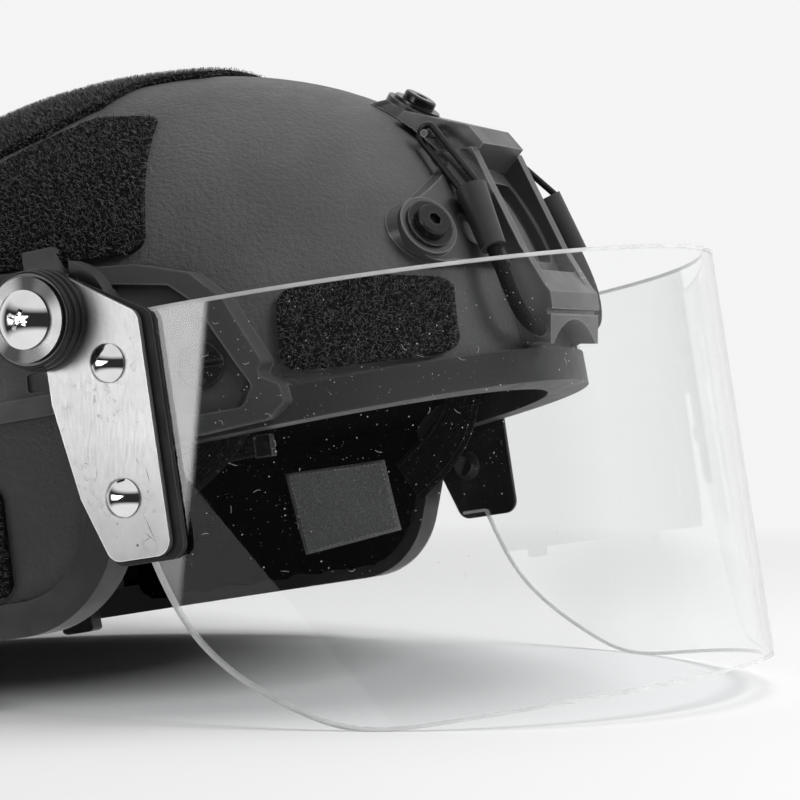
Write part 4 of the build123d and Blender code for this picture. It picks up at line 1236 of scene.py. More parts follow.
@dataclass
class Webbing:
    """Flat woven straps laid on the inside of the shell, each a rounded ribbon with sewn edges."""

    thickness: float = 1.6
    back_growth: float = -14.05
    over_growth: float = -15.95
    corner_cuts: int = 3
    cut_shares: Spot = (0.25, 0.75)
    step: float = 1.5
    across: int = 8
    edge_share: float = 0.985
    edge_sink: float = 0.12
    edge_bulge: float = 0.1
    lines: dict[str, list[Spot]] = field(default_factory=lambda: {
        "front_strap": [(-79, 22), (-79, 10), (-68, -11), (-41, -26.5)],
        "rear_strap": [(45, 36), (73, 2), (83, -20), (90, -50)],
    })
    tail_line: list[Spot] = field(default_factory=lambda: [(-80, -12.4), (-62, -13.5), (-40, -23)])
    strap_width: float = 18.0
    tail_width: float = 6.0
    band_low: float = -48.0
    band_high: float = -32.0
    band_arc: float = math.radians(44)
    band_radius: float = 115.0
    band_steps: int = 110
    seam_inset: float = 2.0
    seam_sink: float = 0.05
    box_ends: Spot = (16.0, 24.0)
    box_half: float = 6.0
    box_steps: int = 3

    def rounded(self, points: list[Spot]) -> list[Vector]:
        """Cuts a line's corners and divides it into even steps.

        Args:
            points: the line's points in side view.

        Returns:
            The points of the smooth line.
        """
        line = [Vector(point) for point in points]
        for _ in range(self.corner_cuts):
            cut = [line[0]]
            for a, b in zip(line, line[1:]):
                cut += [a.lerp(b, share) for share in self.cut_shares]
            line = cut + [line[-1]]
        even, carry = [line[0]], 0.0
        for a, b in zip(line, line[1:]):
            length = (b - a).length
            while carry + self.step <= length:
                carry += self.step
                even.append(a.lerp(b, carry / length))
            carry -= length
        return even + [line[-1]]

    @staticmethod
    def squares(spots: list[Vector]) -> list[Vector]:
        """Ways square to a line.

        Args:
            spots: the line's points.

        Returns:
            A unit way at each point.
        """
        ways = []
        for place in range(len(spots)):
            before, after = spots[max(0, place - 1)], spots[min(len(spots) - 1, place + 1)]
            way = (after - before).normalized()
            ways.append(Vector((-way.y, way.x)))
        return ways

    def section(self, width: float) -> list[Spot]:
        """Offsets across and through the strap, round its rounded section.

        Args:
            width: the strap's width.

        Returns:
            The offsets in order.
        """
        half, thick = width / 2, self.thickness
        outer = [(-half + width * k / self.across, 0.0) for k in range(self.across + 1)]
        for end in (0, -1):
            outer[end] = (outer[end][0] * self.edge_share, self.edge_sink)
        inner = [(-x, thick - deep) for x, deep in outer]
        return (outer + [(half + self.edge_bulge, thick / 2)]
                + inner + [(-half - self.edge_bulge, thick / 2)])

    def ribbon(self, name: str, rows: list, ring: list[Spot]) -> bpy.types.Mesh:
        """Sews rows of points into a closed ribbon with a map of length and width.

        Args:
            name: the mesh's name.
            rows: for each step, its points and its length along, in mm.
            ring: the offsets of the section.

        Returns:
            The mesh.
        """
        made = bmesh.new()
        sheet = made.loops.layers.uv.new("weave")
        grid = [[made.verts.new(point) for point in row] for row, _ in rows]
        for place in range(len(rows) - 1):
            for k in range(len(ring)):
                after = (k + 1) % len(ring)
                spots = ((place, k), (place, after), (place + 1, after), (place + 1, k))
                face = made.faces.new([grid[row][column] for row, column in spots])
                for loop, (row, column) in zip(face.loops, spots):
                    loop[sheet].uv = (rows[row][1], ring[column][0])
        made.faces.new(list(reversed(grid[0])))
        made.faces.new(grid[-1])
        bmesh.ops.recalc_face_normals(made, faces=made.faces)
        mesh = bpy.data.meshes.new(name)
        made.to_mesh(mesh)
        made.free()
        return mesh

    def on_line(self, name: str, side: Side, line: list[Spot], width: float, growth: float) -> bpy.types.Mesh:
        """A strap along a line of the side view.

        Args:
            name: the mesh's name.
            side: the wearer's side.
            line: the line's points.
            width: the strap's width.
            growth: how far outside the dome its back lies.

        Returns:
            The mesh.
        """
        spots = self.rounded(line)
        ring = self.section(width)
        rows, length = [], 0.0
        for place, (spot, square) in enumerate(zip(spots, self.squares(spots))):
            row = []
            for across, deep in ring:
                at = spot + square * across
                row.append(FORM.on_side(side, at.x, at.y, growth - deep))
            rows.append((row, length))
            if place < len(spots) - 1:
                length += (spots[place + 1] - spot).length
        return self.ribbon(name, rows, ring)

    def chin_band(self) -> bpy.types.Mesh:
        """Builds the chin strap, stowed round the nape.

        Returns:
            The mesh.
        """
        middle = (self.band_low + self.band_high) / 2
        ring = self.section(self.band_high - self.band_low)
        rows, length = [], 0.0
        for place in range(self.band_steps + 1):
            turn = self.band_arc * (2 * place / self.band_steps - 1)
            row = []
            for across, deep in ring:
                z = middle + across
                wide = FORM.radius(z, self.over_growth - deep)
                y = FORM.middle_y + FORM.stretch * wide * math.cos(turn)
                row.append(FORM.row(wide * math.sin(turn), y, z))
            rows.append((row, length))
            length += 2 * self.band_arc / self.band_steps * self.band_radius
        return self.ribbon("chin_band", rows, ring)

    def stitches(self, name: str, side: Side, line: list[Spot]) -> None:
        """Sews both edges of a strap and a box at its upper end.

        Args:
            name: the strap.
            side: the wearer's side.
            line: the strap's line.
        """
        spots = self.rounded(line)
        seam = Seam(side, self.back_growth - self.thickness - self.seam_sink)
        off = self.strap_width / 2 - self.seam_inset
        for reach in (-off, off):
            seam.sew([spot + square * reach for spot, square in zip(spots, self.squares(spots))])
        way = (spots[self.box_steps] - spots[0]).normalized()
        square = Vector((-way.y, way.x)) * self.box_half
        near, far = (spots[0] + way * end for end in self.box_ends)
        seam.sew([near - square, near + square, far - square, far + square, near - square])
        seam.piece("stitches_" + name, THREAD)

    def build(self) -> None:
        """Builds the straps and stands them in for their nodes."""
        for side in Side:
            for word, line in self.lines.items():
                name = f"{word}_{side.word}"
                mesh = self.on_line("webbing_" + name, side, line, self.strap_width, self.back_growth)
                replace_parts(new_piece("webbing_" + name, mesh, WEBBING, Body.HELMET), name)
                self.stitches(name, side, line)
        tail = self.on_line("webbing_strap_tail", Side.RIGHT, self.tail_line, self.tail_width,
                            self.over_growth)
        for word, mesh in (("strap_tail", tail), ("chin_strap", self.chin_band())):
            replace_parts(new_piece("webbing_" + word, mesh, WEBBING, Body.HELMET), word)


@dataclass
class Lanyards:
    """Elastic cords of the shroud, from the sleeve down to the nose block."""

    route: list[Place] = field(default_factory=lambda: [
        (-36.32, -149.71, 41.94), (-37.8, -152.3, 32.6), (-36.6, -154.2, 22.6), (-30.4, -155.3, 14.8),
        (-20.5, -155.4, 13.2)])
    radius: float = 0.0023
    length: float = 0.0370
    ring_steps: int = 6
    run_steps: int = 16

    def build(self) -> None:
        """Builds both cords and stands them in for their nodes."""
        for side in Side:
            name = "bungee_cord_" + side.word
            line = bpy.data.curves.new("lanyard_" + side.word, "CURVE")
            line.dimensions = "3D"
            spline = line.splines.new("NURBS")
            spline.points.add(len(self.route) - 1)
            for point, (x, y, z) in zip(spline.points, self.route):
                point.co = (*FORM.row(-side.value * x, y, z), 1.0)
            spline.order_u = 3
            spline.use_endpoint_u = True
            line.bevel_depth = self.radius
            line.bevel_resolution = self.ring_steps
            line.resolution_u = self.run_steps
            line.use_fill_caps = True
            piece = linked("lanyard_" + side.word, line)
            line.materials.append(CORD.material())
            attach(piece, Body.HELMET.value)
            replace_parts(piece, name)
            x, y, z = self.route[0]
            LOG.info("piece %s", piece.name)


@dataclass
class BareLabel:
    """The bare sewn patch on the left ear liner."""

    outline: list[Spot] = field(default_factory=lambda: [
        (13.4, -15.5), (-30.9, -16.3), (-33.5, -44.3), (10.1, -48.5)])
    growth: float = -14.0
    clearance: float = 0.1
    thickness: float = 0.35
    steps: int = 22
    lift: float = 0.25
    wave: float = 0.22
    waves_per_mm: float = 0.11
    curl: float = 0.9
    curl_from: float = 0.9
    seam_inset: float = 2.2
    seam_sink: float = 0.5
    stitch: float = 1.2
    stitch_pitch: float = 1.9

    def point(self, corners: list[Vector], across: float, down: float, layer: float) -> Vector:
        """A point of the patch.

        Args:
            corners: the patch's corners.
            across: its share of the way from the rear edge to the front.
            down: its share of the way from the upper edge to the lower.
            layer: how far it lies under the front face.

        Returns:
            The point in the row frame.
        """
        top = corners[0].lerp(corners[1], across)
        low = corners[3].lerp(corners[2], across)
        at = top.lerp(low, down)
        rim = max(abs(across - 0.5), abs(down - 0.5)) * 2
        wave = (self.lift + self.wave * noise.noise(Vector((at.x, at.y, 0)) * self.waves_per_mm)
                + self.curl * max(0, rim - self.curl_from))
        return FORM.on_side(Side.LEFT, at.x, at.y, self.growth - wave + layer - self.clearance)

    def build(self) -> None:
        """Builds the patch, slightly wavy, with a sewn border."""
        count = self.steps + 1
        corners = [Vector(corner) for corner in self.outline]
        shares = [k / self.steps for k in range(count)]
        points = [self.point(corners, across, down, layer)
                  for layer in (0.0, self.thickness) for across in shares for down in shares]
        faces, under = [], count * count
        for u in range(self.steps):
            for v in range(self.steps):
                a = u * count + v
                faces.append((a, a + 1, a + count + 1, a + count))
                faces.append((under + a, under + a + count, under + a + count + 1, under + a + 1))
        border = ([u * count for u in range(count)] + [self.steps * count + v for v in range(1, count)]
                  + [u * count + self.steps for u in range(self.steps - 1, -1, -1)]
                  + [v for v in range(self.steps - 1, 0, -1)])
        for a, b in zip(border, border[1:] + border[:1]):
            faces.append((a, b, under + b, under + a))
        piece = new_piece("bare_label", mesh_of("bare_label", points, faces), LABEL, Body.HELMET)
        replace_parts(piece, "label_patch")
        self.border(corners)

    def border(self, corners: list[Vector]) -> None:
        """Sews round the patch, just inside its edge.

        Args:
            corners: the patch's corners.
        """
        middle = (corners[0] + corners[1] + corners[2] + corners[3]) / 4
        inner = [corner + (middle - corner).normalized() * self.seam_inset for corner in corners]
        seam = Seam(Side.LEFT, self.growth - self.seam_sink, self.stitch, self.stitch_pitch, self.stitch)
        seam.sew(inner + inner[:1])
        seam.piece("label_stitches", PALE_THREAD)


@dataclass
class DomedHeads:
    """Rivets and pivot screws with domed, polished heads, turned on their axes."""

    gap: float = 0.1
    rivet_places: list[Spot] = field(default_factory=lambda: [(-58.4, 18.2), (-57.1, -23.2)])
    rivet_radius: float = 6.1
    rivet_height: float = 3.6
    rivet_end: float = 122.0
    shank_radius: float = 2.5
    tail_radius: float = 3.6
    tail_length: float = 1.2
    screw_base: float = 143.65
    screw_radius: float = 9.1
    screw_height: float = 4.4
    screw_shank: float = 3.0
    screw_end: float = 125.0
    foot_share: float = 0.16
    foot_radius_share: float = 0.985
    foot_bevel: float = 0.25
    dome_steps: int = 14
    cross_length: float = 8.4
    cross_width: float = 1.7
    cross_depth: float = 2.3
    cross_turn: float = math.radians(32)
    cross_overrun: float = 1.0
    cross_low_shares: Spot = (0.45, 0.55)
    cross_top_shares: Spot = (1.12, 1.15)
    cross_offset: float = 0.01
    turns: int = 64

    def dome(self, radius: float, height: float, base: float) -> list[Spot]:
        """Profile of a domed head over a short cylindrical foot.

        Args:
            radius: the head's radius.
            height: its height.
            base: where it starts, out along X.

        Returns:
            Places out along X and radii, the last radius zero.
        """
        foot = self.foot_share * height
        rise = height - foot
        sphere = (radius * radius + rise * rise) / (2 * rise)
        profile = [(base, radius * self.foot_radius_share), (base + self.foot_bevel, radius),
                   (base + foot, radius)]
        for step in range(1, self.dome_steps + 1):
            out = radius * (1 - step / self.dome_steps)
            lift = math.sqrt(max(0.0, sphere * sphere - out * out)) - (sphere - rise)
            profile.append((base + foot + lift, out))
        return profile

    def lathe(self, name: str, side: Side, profile: list[Spot], centre: Spot) -> bpy.types.Mesh:
        """Turns a profile about an axis along X.

        Args:
            name: the mesh's name.
            side: the wearer's side.
            profile: places out along X and radii in mm, the last radius zero.
            centre: the axis in side view.

        Returns:
            The mesh.
        """
        points, faces = [FORM.row(side.value * profile[0][0], *centre)], []
        for out, radius in profile[:-1]:
            for k in range(self.turns):
                angle = math.tau * k / self.turns
                points.append(FORM.row(side.value * out, centre[0] + radius * math.cos(angle),
                                       centre[1] + radius * math.sin(angle)))
        points.append(FORM.row(side.value * profile[-1][0], *centre))
        last_ring = 1 + (len(profile) - 2) * self.turns
        for k in range(self.turns):
            after = (k + 1) % self.turns
            faces.append((0, 1 + after, 1 + k))
            for ring in range(len(profile) - 2):
                a, b = 1 + ring * self.turns, 1 + (ring + 1) * self.turns
                faces.append((a + k, a + after, b + after, b + k))
            faces.append((last_ring + k, last_ring + after, len(points) - 1))
        return faced_outwards(mesh_of(name, points, faces))

    def cross(self, side: Side) -> bpy.types.Object:
        """The tapered cross that is cut into a screw's head.

        Args:
            side: the wearer's side.

        Returns:
            The cutter's object.
        """
        points, faces = [], []
        head = self.screw_base + self.screw_height
        ends = ((head - self.cross_depth, self.cross_low_shares),
                (head + self.cross_overrun, self.cross_top_shares))
        for bar in range(2):
            base = len(points)
            angle = self.cross_turn + bar * math.pi / 2
            way = Vector((math.cos(angle), math.sin(angle))) * self.cross_length / 2
            square = Vector((-math.sin(angle), math.cos(angle))) * self.cross_width / 2
            for out, (long, wide) in ends:
                for u, v in ((-1, -1), (1, -1), (1, 1), (-1, 1)):
                    at = Vector(PIVOT) + way * u * long + square * v * wide
                    points.append(FORM.row(side.value * (out + self.cross_offset * bar), at.x, at.y))
            faces += [tuple(base + i for i in corner) for corner in (
                (3, 2, 1, 0), (4, 5, 6, 7), (0, 1, 5, 4), (1, 2, 6, 5), (2, 3, 7, 6), (3, 0, 4, 7))]
        return linked("cross", faced_outwards(mesh_of("cross", points, faces)))

    def screw(self, side: Side) -> bpy.types.Mesh:
        """One pivot screw with its cross cut in.

        Args:
            side: the wearer's side.

        Returns:
            The mesh.
        """
        profile = [(self.screw_end, self.screw_shank), (self.screw_base, self.screw_shank)]
        profile += self.dome(self.screw_radius, self.screw_height, self.screw_base)
        body = linked("screw", self.lathe("screw", side, profile, PIVOT))
        cutter = self.cross(side)
        cut = body.modifiers.new("cross", "BOOLEAN")
        cut.operation, cut.solver, cut.object, cut.use_self = "DIFFERENCE", "EXACT", cutter, True
        done = shown_mesh(body)
        for made in (body, cutter):
            bpy.data.objects.remove(made)
        return done

    def rivet(self, side: Side, place: Spot) -> bpy.types.Mesh:
        """One rivet of a side plate."""
        base, end = PLATE_OUTER_X + self.gap, self.rivet_end
        profile = [(end, self.tail_radius), (end + self.tail_length, self.tail_radius),
                   (end + self.tail_length, self.shank_radius), (base, self.shank_radius)]
        profile += self.dome(self.rivet_radius, self.rivet_height, base)
        return self.lathe("rivet", side, profile, place)

    def build(self) -> None:
        """Builds the rivets and the screws and stands them in for their nodes."""
        heads = [self.rivet(side, place) for side in Side for place in self.rivet_places]
        rivets = joined("domed_rivets", heads)
        made = new_piece("domed_rivets", rivets, CHROME, Body.VISOR)
        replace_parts(made, "plate_rivets")
        screws = joined("domed_pivot_screws", [self.screw(side) for side in Side])
        made = new_piece("domed_pivot_screws", screws, CHROME, Body.HELMET)
        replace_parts(made, "pivot_screws")
        for mesh in (rivets, screws):
            mesh.set_sharp_from_angle(angle=SHARP_ANGLE)


@dataclass
class PlateMarks:
    """Fine scratches on the outer faces of the side plates, thin strips barely proud of the metal."""

    lift: float = 0.012
    seed: int = 23
    count: int = 64
    shares: dict[Finish, float] = field(default_factory=lambda: {DARK_MARK: 0.35, PALE_MARK: 0.65})
    heights: Spot = (-38.0, 26.0)
    front_y: float = -68.0
    foot_z: float = -10.0
    foot_rear_y: float = -46.0
    rear_y: float = -42.0
    headings: Spot = (1.2, 0.7)
    least_length: float = 0.6
    length_swing: float = 3.2
    widths: Spot = (0.04, 0.1)
    deep_width: float = 0.22
    deep_marks: list[tuple[float, float, float, float]] = field(default_factory=lambda: [
        (-63.2, -28.5, -66.8, -39.2), (-62.4, -34.0, -66.4, -38.0), (-62.0, -37.4, -64.8, -36.2),
        (-66.3, -14.5, -67.4, -20.5), (-63.5, -11.5, -64.3, -13.8), (-45.0, -10.6, -46.8, -11.4)])

    def strip(self, side: Side, mark: tuple, width: float, points: list, faces: list) -> None:
        """Adds one scratch, pointed at both ends.

        Args:
            side: the wearer's side.
            mark: its two ends in side view.
            width: its width in the middle.
            points: the points so far.
            faces: the faces so far.
        """
        a, b = Vector(mark[:2]), Vector(mark[2:])
        square = Vector((-(b - a).y, (b - a).x)).normalized() * width / 2
        base = len(points)
        out = side.value * (PLATE_OUTER_X + self.lift)
        for at in (a, a.lerp(b, 0.5) + square, b, a.lerp(b, 0.5) - square):
            points.append(FORM.row(out, at.x, at.y))
        faces.append((base, base + 1, base + 2, base + 3))

    def build(self) -> None:
        """Builds the dark and the pale scratches of both plates."""
        draw = random.Random(self.seed)
        for finish, share in self.shares.items():
            points, faces = [], []
            for side in Side:
                if finish is DARK_MARK:
                    for mark in self.deep_marks:
                        self.strip(side, mark, self.deep_width, points, faces)
                for _ in range(int(self.count * share)):
                    z = draw.uniform(*self.heights)
                    y = draw.uniform(self.front_y, self.foot_rear_y if z < self.foot_z else self.rear_y)
                    angle = draw.gauss(*self.headings)
                    size = self.least_length + self.length_swing * draw.random() ** 2
                    mark = (y, z, y + size * math.cos(angle), z + size * math.sin(angle))
                    self.strip(side, mark, draw.uniform(*self.widths), points, faces)
            new_piece(finish.name + "s", mesh_of(finish.name, points, faces), finish, Body.VISOR)


@dataclass
class CornerCurve:
    """Smooth curve through a few points of the side view, as the shield's lower corner has it in the CAD."""

    points: list[Vector]
    start_way: Vector
    end_way: Vector
    rounds: int = 60

    def __post_init__(self) -> None:
        """Works out the curve's steps and its ways at the points."""
        runs = [b - a for a, b in zip(self.points, self.points[1:])]
        self.steps = [run.length for run in runs]
        rates = [run / step for run, step in zip(runs, self.steps)]
        bend = (rates[1] - rates[0]) / (self.steps[0] + self.steps[1])
        self.ways = rates + rates[-1:]
        for place, at, way in ((0, 0.0, self.start_way), (-1, sum(self.steps), self.end_way)):
            lean = rates[0] + bend * (2 * at - self.steps[0])
            self.ways[place] = way * ((abs(lean.x) + abs(lean.y)) / (abs(way.x) + abs(way.y)))
        for _ in range(self.rounds):
            for k in range(1, len(self.points) - 1):
                before, after = self.steps[k - 1], self.steps[k]
                pull = (rates[k - 1] * after + rates[k] * before) * 3
                held = self.ways[k - 1] * after + self.ways[k + 1] * before
                self.ways[k] = (pull - held) / (2 * (before + after))

    def at(self, piece: int, share: float) -> Vector:
        """A point of the curve.

        Args:
            piece: the number of its piece, between two of the points.
            share: its share of the way along the piece.

        Returns:
            The point.
        """
        square, cube = share ** 2, share ** 3
        step = self.steps[piece]
        start = self.points[piece] * (2 * cube - 3 * square + 1)
        end = self.points[piece + 1] * (3 * square - 2 * cube)
        out, home = self.ways[piece] * (cube - 2 * square + share), self.ways[piece + 1] * (cube - square)
        return start + end + (out + home) * step

    def height(self, y: float) -> float:
        """Height of the curve, which runs forwards all the way.

        Args:
            y: a place between the ends of the curve.

        Returns:
            The Z there.
        """
        piece = next(k for k, point in enumerate(self.points[1:]) if y >= point.x)
        share = halved(0.0, 1.0, lambda middle: self.at(piece, middle).x > y)
        return self.at(piece, share).y


@dataclass
class ClearSheet:
    """The clear shield, a half ellipse in plan cut to its side view, and the band on its cut edges."""

    side_gap: float = 4.35
    wall: float = 3.0
    shell_reach: float = 151.0
    face_space: float = 54.1
    rear_y: float = -52.0
    top_z: float = 33.0
    tab_z: float = -42.0
    low_z: float = -104.7
    tab_front_y: float = -61.5
    contact_y: float = -137.0
    corner_shares: list[Spot] = field(default_factory=lambda: [(0.165, 0.46), (0.53, 0.853)])
    corner_start: Spot = (-0.3, -1.0)
    corner_end: Spot = (-1.0, 0.0)
    rear_columns: int = 6
    corner_columns: int = 84
    front_columns: int = 64
    rows: int = 16
    band: float = 1.1
    proud: float = 0.03
    slope_reach: float = 0.2

    def __post_init__(self) -> None:
        """Works out the sheet's size, its corner and its columns."""
        self.half_width = FORM.half_width + self.side_gap + self.wall
        self.depth = self.shell_reach + self.face_space + self.rear_y
        first, last = Vector((self.tab_front_y, self.tab_z)), Vector((self.contact_y, self.low_z))
        inner = [first + Vector(((last - first).x * u, (last - first).y * v)) for u, v in self.corner_shares]
        self.corner = CornerCurve([first, *inner, last], Vector(self.corner_start), Vector(self.corner_end))
        half = self.columns()
        self.turns = [-angle for angle in reversed(half[1:])] + half

    def low_edge(self, y: float) -> float:
        """Height of the lower edge of the side view.

        Args:
            y: a place along the sheet.

        Returns:
            The Z of its lower edge.
        """
        if y >= self.tab_front_y:
            return self.tab_z
        return self.low_z if y <= self.contact_y else self.corner.height(y)

    def columns(self) -> list[float]:
        """Angles of the columns from the front's middle to the rear end, closest where the corner starts.

        Returns:
            The angles of one half.
        """
        front = math.acos((self.rear_y - self.contact_y) / self.depth)
        back = math.acos((self.rear_y - self.tab_front_y) / self.depth)
        angles = [front * k / self.front_columns for k in range(self.front_columns)]
        shares = [1 - (1 - k / self.corner_columns) ** 2 for k in range(self.corner_columns)]
        angles += [front + (back - front) * share for share in shares]
        rest = math.pi / 2 - back
        return angles + [back + rest * k / self.rear_columns for k in range(self.rear_columns + 1)]

    def at(self, turn: float, z: float, deep: float, shift: float = 0.0) -> Vector:
        """A point of the sheet.

        Args:
            turn: angle of its column, less than zero on the wearer's right.
            z: its height.
            deep: how far it lies inside the outer face.
            shift: how far it is moved along Y on its own face.

        Returns:
            The point in the row frame.
        """
        wide, long = self.half_width - deep, self.depth - deep
        y = self.rear_y - long * math.cos(turn) + shift
        share = max(-1.0, min(1.0, (self.rear_y - y) / long))
        return FORM.row(math.copysign(wide * math.sqrt(1 - share * share), turn), y, z)

    def sheet(self) -> bpy.types.Mesh:
        """Builds the closed mesh of the sheet.

        Returns:
            The mesh.
        """
        points, faces, count = [], [], self.rows + 1
        for turn in self.turns:
            for deep in (0.0, self.wall):
                low = self.low_edge(self.rear_y - (self.depth - deep) * math.cos(turn))
                heights = [low + (self.top_z - low) * k / self.rows for k in range(count)]
                points += [self.at(turn, height, deep) for height in heights]
        for column in range(len(self.turns) - 1):
            a, b = column * 2 * count, (column + 1) * 2 * count
            for k in range(self.rows):
                faces.append((a + k, b + k, b + k + 1, a + k + 1))
                faces.append((a + count + k, a + count + k + 1, b + count + k + 1, b + count + k))
            faces.append((a, a + count, b + count, b))
            faces.append((a + count - 1, b + count - 1, b + 2 * count - 1, a + 2 * count - 1))
        last = (len(self.turns) - 1) * 2 * count
        for k in range(self.rows):
            faces.append((k, k + 1, count + k + 1, count + k))
            faces.append((last + k, last + count + k, last + count + k + 1, last + k + 1))
        return mesh_of("clear_sheet", points, faces)

    def band_point(self, turn: float, top: bool, deep: float, near: bool) -> Vector:
        """A point of the pale band, partly frosted edge and partly painted highlight.

        Args:
            turn: angle of its column.
            top: whether it is on the upper edge.
            deep: how far it lies inside the outer face.
            near: whether it lies on the face and not past the edge.

        Returns:
            The point in the row frame.
        """
        reach = self.band if near else -self.proud
        if top:
            return self.at(turn, self.top_z - reach, deep)
        y = self.rear_y - (self.depth - deep) * math.cos(turn)
        rise = self.low_edge(y + self.slope_reach) - self.low_edge(y - self.slope_reach)
        slope = rise / (2 * self.slope_reach)
        size = math.hypot(1.0, slope)
        return self.at(turn, self.low_edge(y) + reach / size, deep, -reach * slope / size)

    def edge_band(self) -> bpy.types.Mesh:
        """Builds the pale band, partly frosted edge and partly painted highlight, along the top and the lower
        edge.

        Returns:
            The mesh.
        """
        points, faces = [], []
        outer, inner = -self.proud, self.wall + self.proud
        section = ((outer, True), (outer, False), (inner, False), (inner, True))
        for top in (True, False):
            start = len(points)
            points += [self.band_point(turn, top, deep, near)
                       for turn in self.turns for deep, near in section]
            for column in range(len(self.turns) - 1):
                a, b = (start + (column + more) * len(section) for more in (0, 1))
                faces += [(a + k, b + k, b + k + 1, a + k + 1) for k in range(len(section) - 1)]
        return mesh_of("shield_cut_edge", points, faces)

    def build(self) -> None:
        """Builds the sheet in place of its node, and the band."""
        sheet = new_piece("clear_sheet", self.sheet(), SHIELD, Body.VISOR)
        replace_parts(sheet, "visor_lens")
        band = new_piece("shield_cut_edge", self.edge_band(), CUT_EDGE, Body.VISOR)
        for piece in (sheet, band):
            piece.data.set_sharp_from_angle(angle=SHARP_ANGLE)


@dataclass
class ShieldDust:
    """White specks and a few lint fibres on the outside of the clear shield."""

    sheet: ClearSheet = field(default_factory=ClearSheet)
    gap: float = 0.05
    low_z: float = -96.0
    high_z: float = 30.0
    tab_low_z: float = -40.0
    corner_z: float = -42.0
    corner_drop: float = 55.0
    spread_share: float = 0.35
    spread_turn: float = 86.0
    right_turns: Spot = (25.0, 88.0)
    specks: int = 1150
    least_speck: float = 0.00006
    speck_swing: float = 0.00017
    speck_power: int = 4
    speck_corners: int = 5
    corner_swing: float = 0.6
    half_height: float = 0.00004
    lint: int = 46
    lint_step: float = 0.00045
    lint_points: int = 6
    lint_bend: float = 0.5
    half_lint: float = 0.00004
    seed: int = 5

    def spot(self, draw: random.Random) -> tuple[Vector, Vector, Vector]:
        """Draws a place on the outside of the shield.

        Args:
            draw: the source of random numbers.

        Returns:
            The place and the ways along and up the shield there.
        """
        if draw.random() < self.spread_share:
            turn = math.radians(draw.uniform(-self.spread_turn, self.spread_turn))
        else:
            turn = -math.radians(draw.uniform(*self.right_turns))
        z = draw.uniform(self.low_z, self.high_z)
        if z < self.corner_z - self.corner_drop * (1 - abs(turn) / (math.pi / 2)):
            z = draw.uniform(self.tab_low_z, self.high_z)
        wide, long = self.sheet.half_width, self.sheet.depth
        x = (wide + self.gap) * math.sin(turn)
        y = self.sheet.rear_y - (long + self.gap) * math.cos(turn)
        at = FORM.row(x, y, z)
        along = (FORM.row(x + math.cos(turn), y + long / wide * math.sin(turn), z) - at).normalized()
        up = (FORM.row(x, y, z + 1) - at).normalized()
        return at, along, up

    def speck(self, draw: random.Random, points: list, faces: list) -> None:
        """Adds one speck, pointed on both sides.

        Args:
            draw: the source of random numbers.
            points: the points so far.
            faces: the faces so far.
        """
        at, along, up = self.spot(draw)
        size = self.least_speck + self.speck_swing * draw.random() ** self.speck_power
        out = along.cross(up).normalized() * self.half_height
        base, count = len(points), self.speck_corners
        for k in range(count):
            angle = math.tau * k / count + draw.random() * self.corner_swing
            points.append(at + (along * math.cos(angle) + up * math.sin(angle)) * size)
        points += [at + out, at - out]
        for k in range(count):
            faces.append((base + k, base + (k + 1) % count, base + count))
            faces.append((base + (k + 1) % count, base + k, base + count + 1))

    def fibre(self, draw: random.Random, points: list, faces: list) -> None:
        """Adds one curved fibre of lint, a narrow strip.

        Args:
            draw: the source of random numbers.
            points: the points so far.
            faces: the faces so far.
        """
        at, along, up = self.spot(draw)
        heading, bend = draw.uniform(0, math.tau), draw.uniform(-self.lint_bend, self.lint_bend)
        base = len(points)
        for step in range(self.lint_points):
            way = along * math.cos(heading) + up * math.sin(heading)
            across = (up * math.cos(heading) - along * math.sin(heading)) * self.half_lint
            points += [at - across, at + across]
            if step:
                here = base + 2 * step
                faces.append((here - 2, here, here + 1, here - 1))
            at = at + way * self.lint_step
            heading += bend

    def build(self) -> None:
        """Builds the specks and the lint as one piece."""
        draw = random.Random(self.seed)
        points, faces = [], []
        for _ in range(self.specks):
            self.speck(draw, points, faces)
        for _ in range(self.lint):
            self.fibre(draw, points, faces)
        new_piece("shield_dust", mesh_of("shield_dust", points, faces), DUST, Body.VISOR)


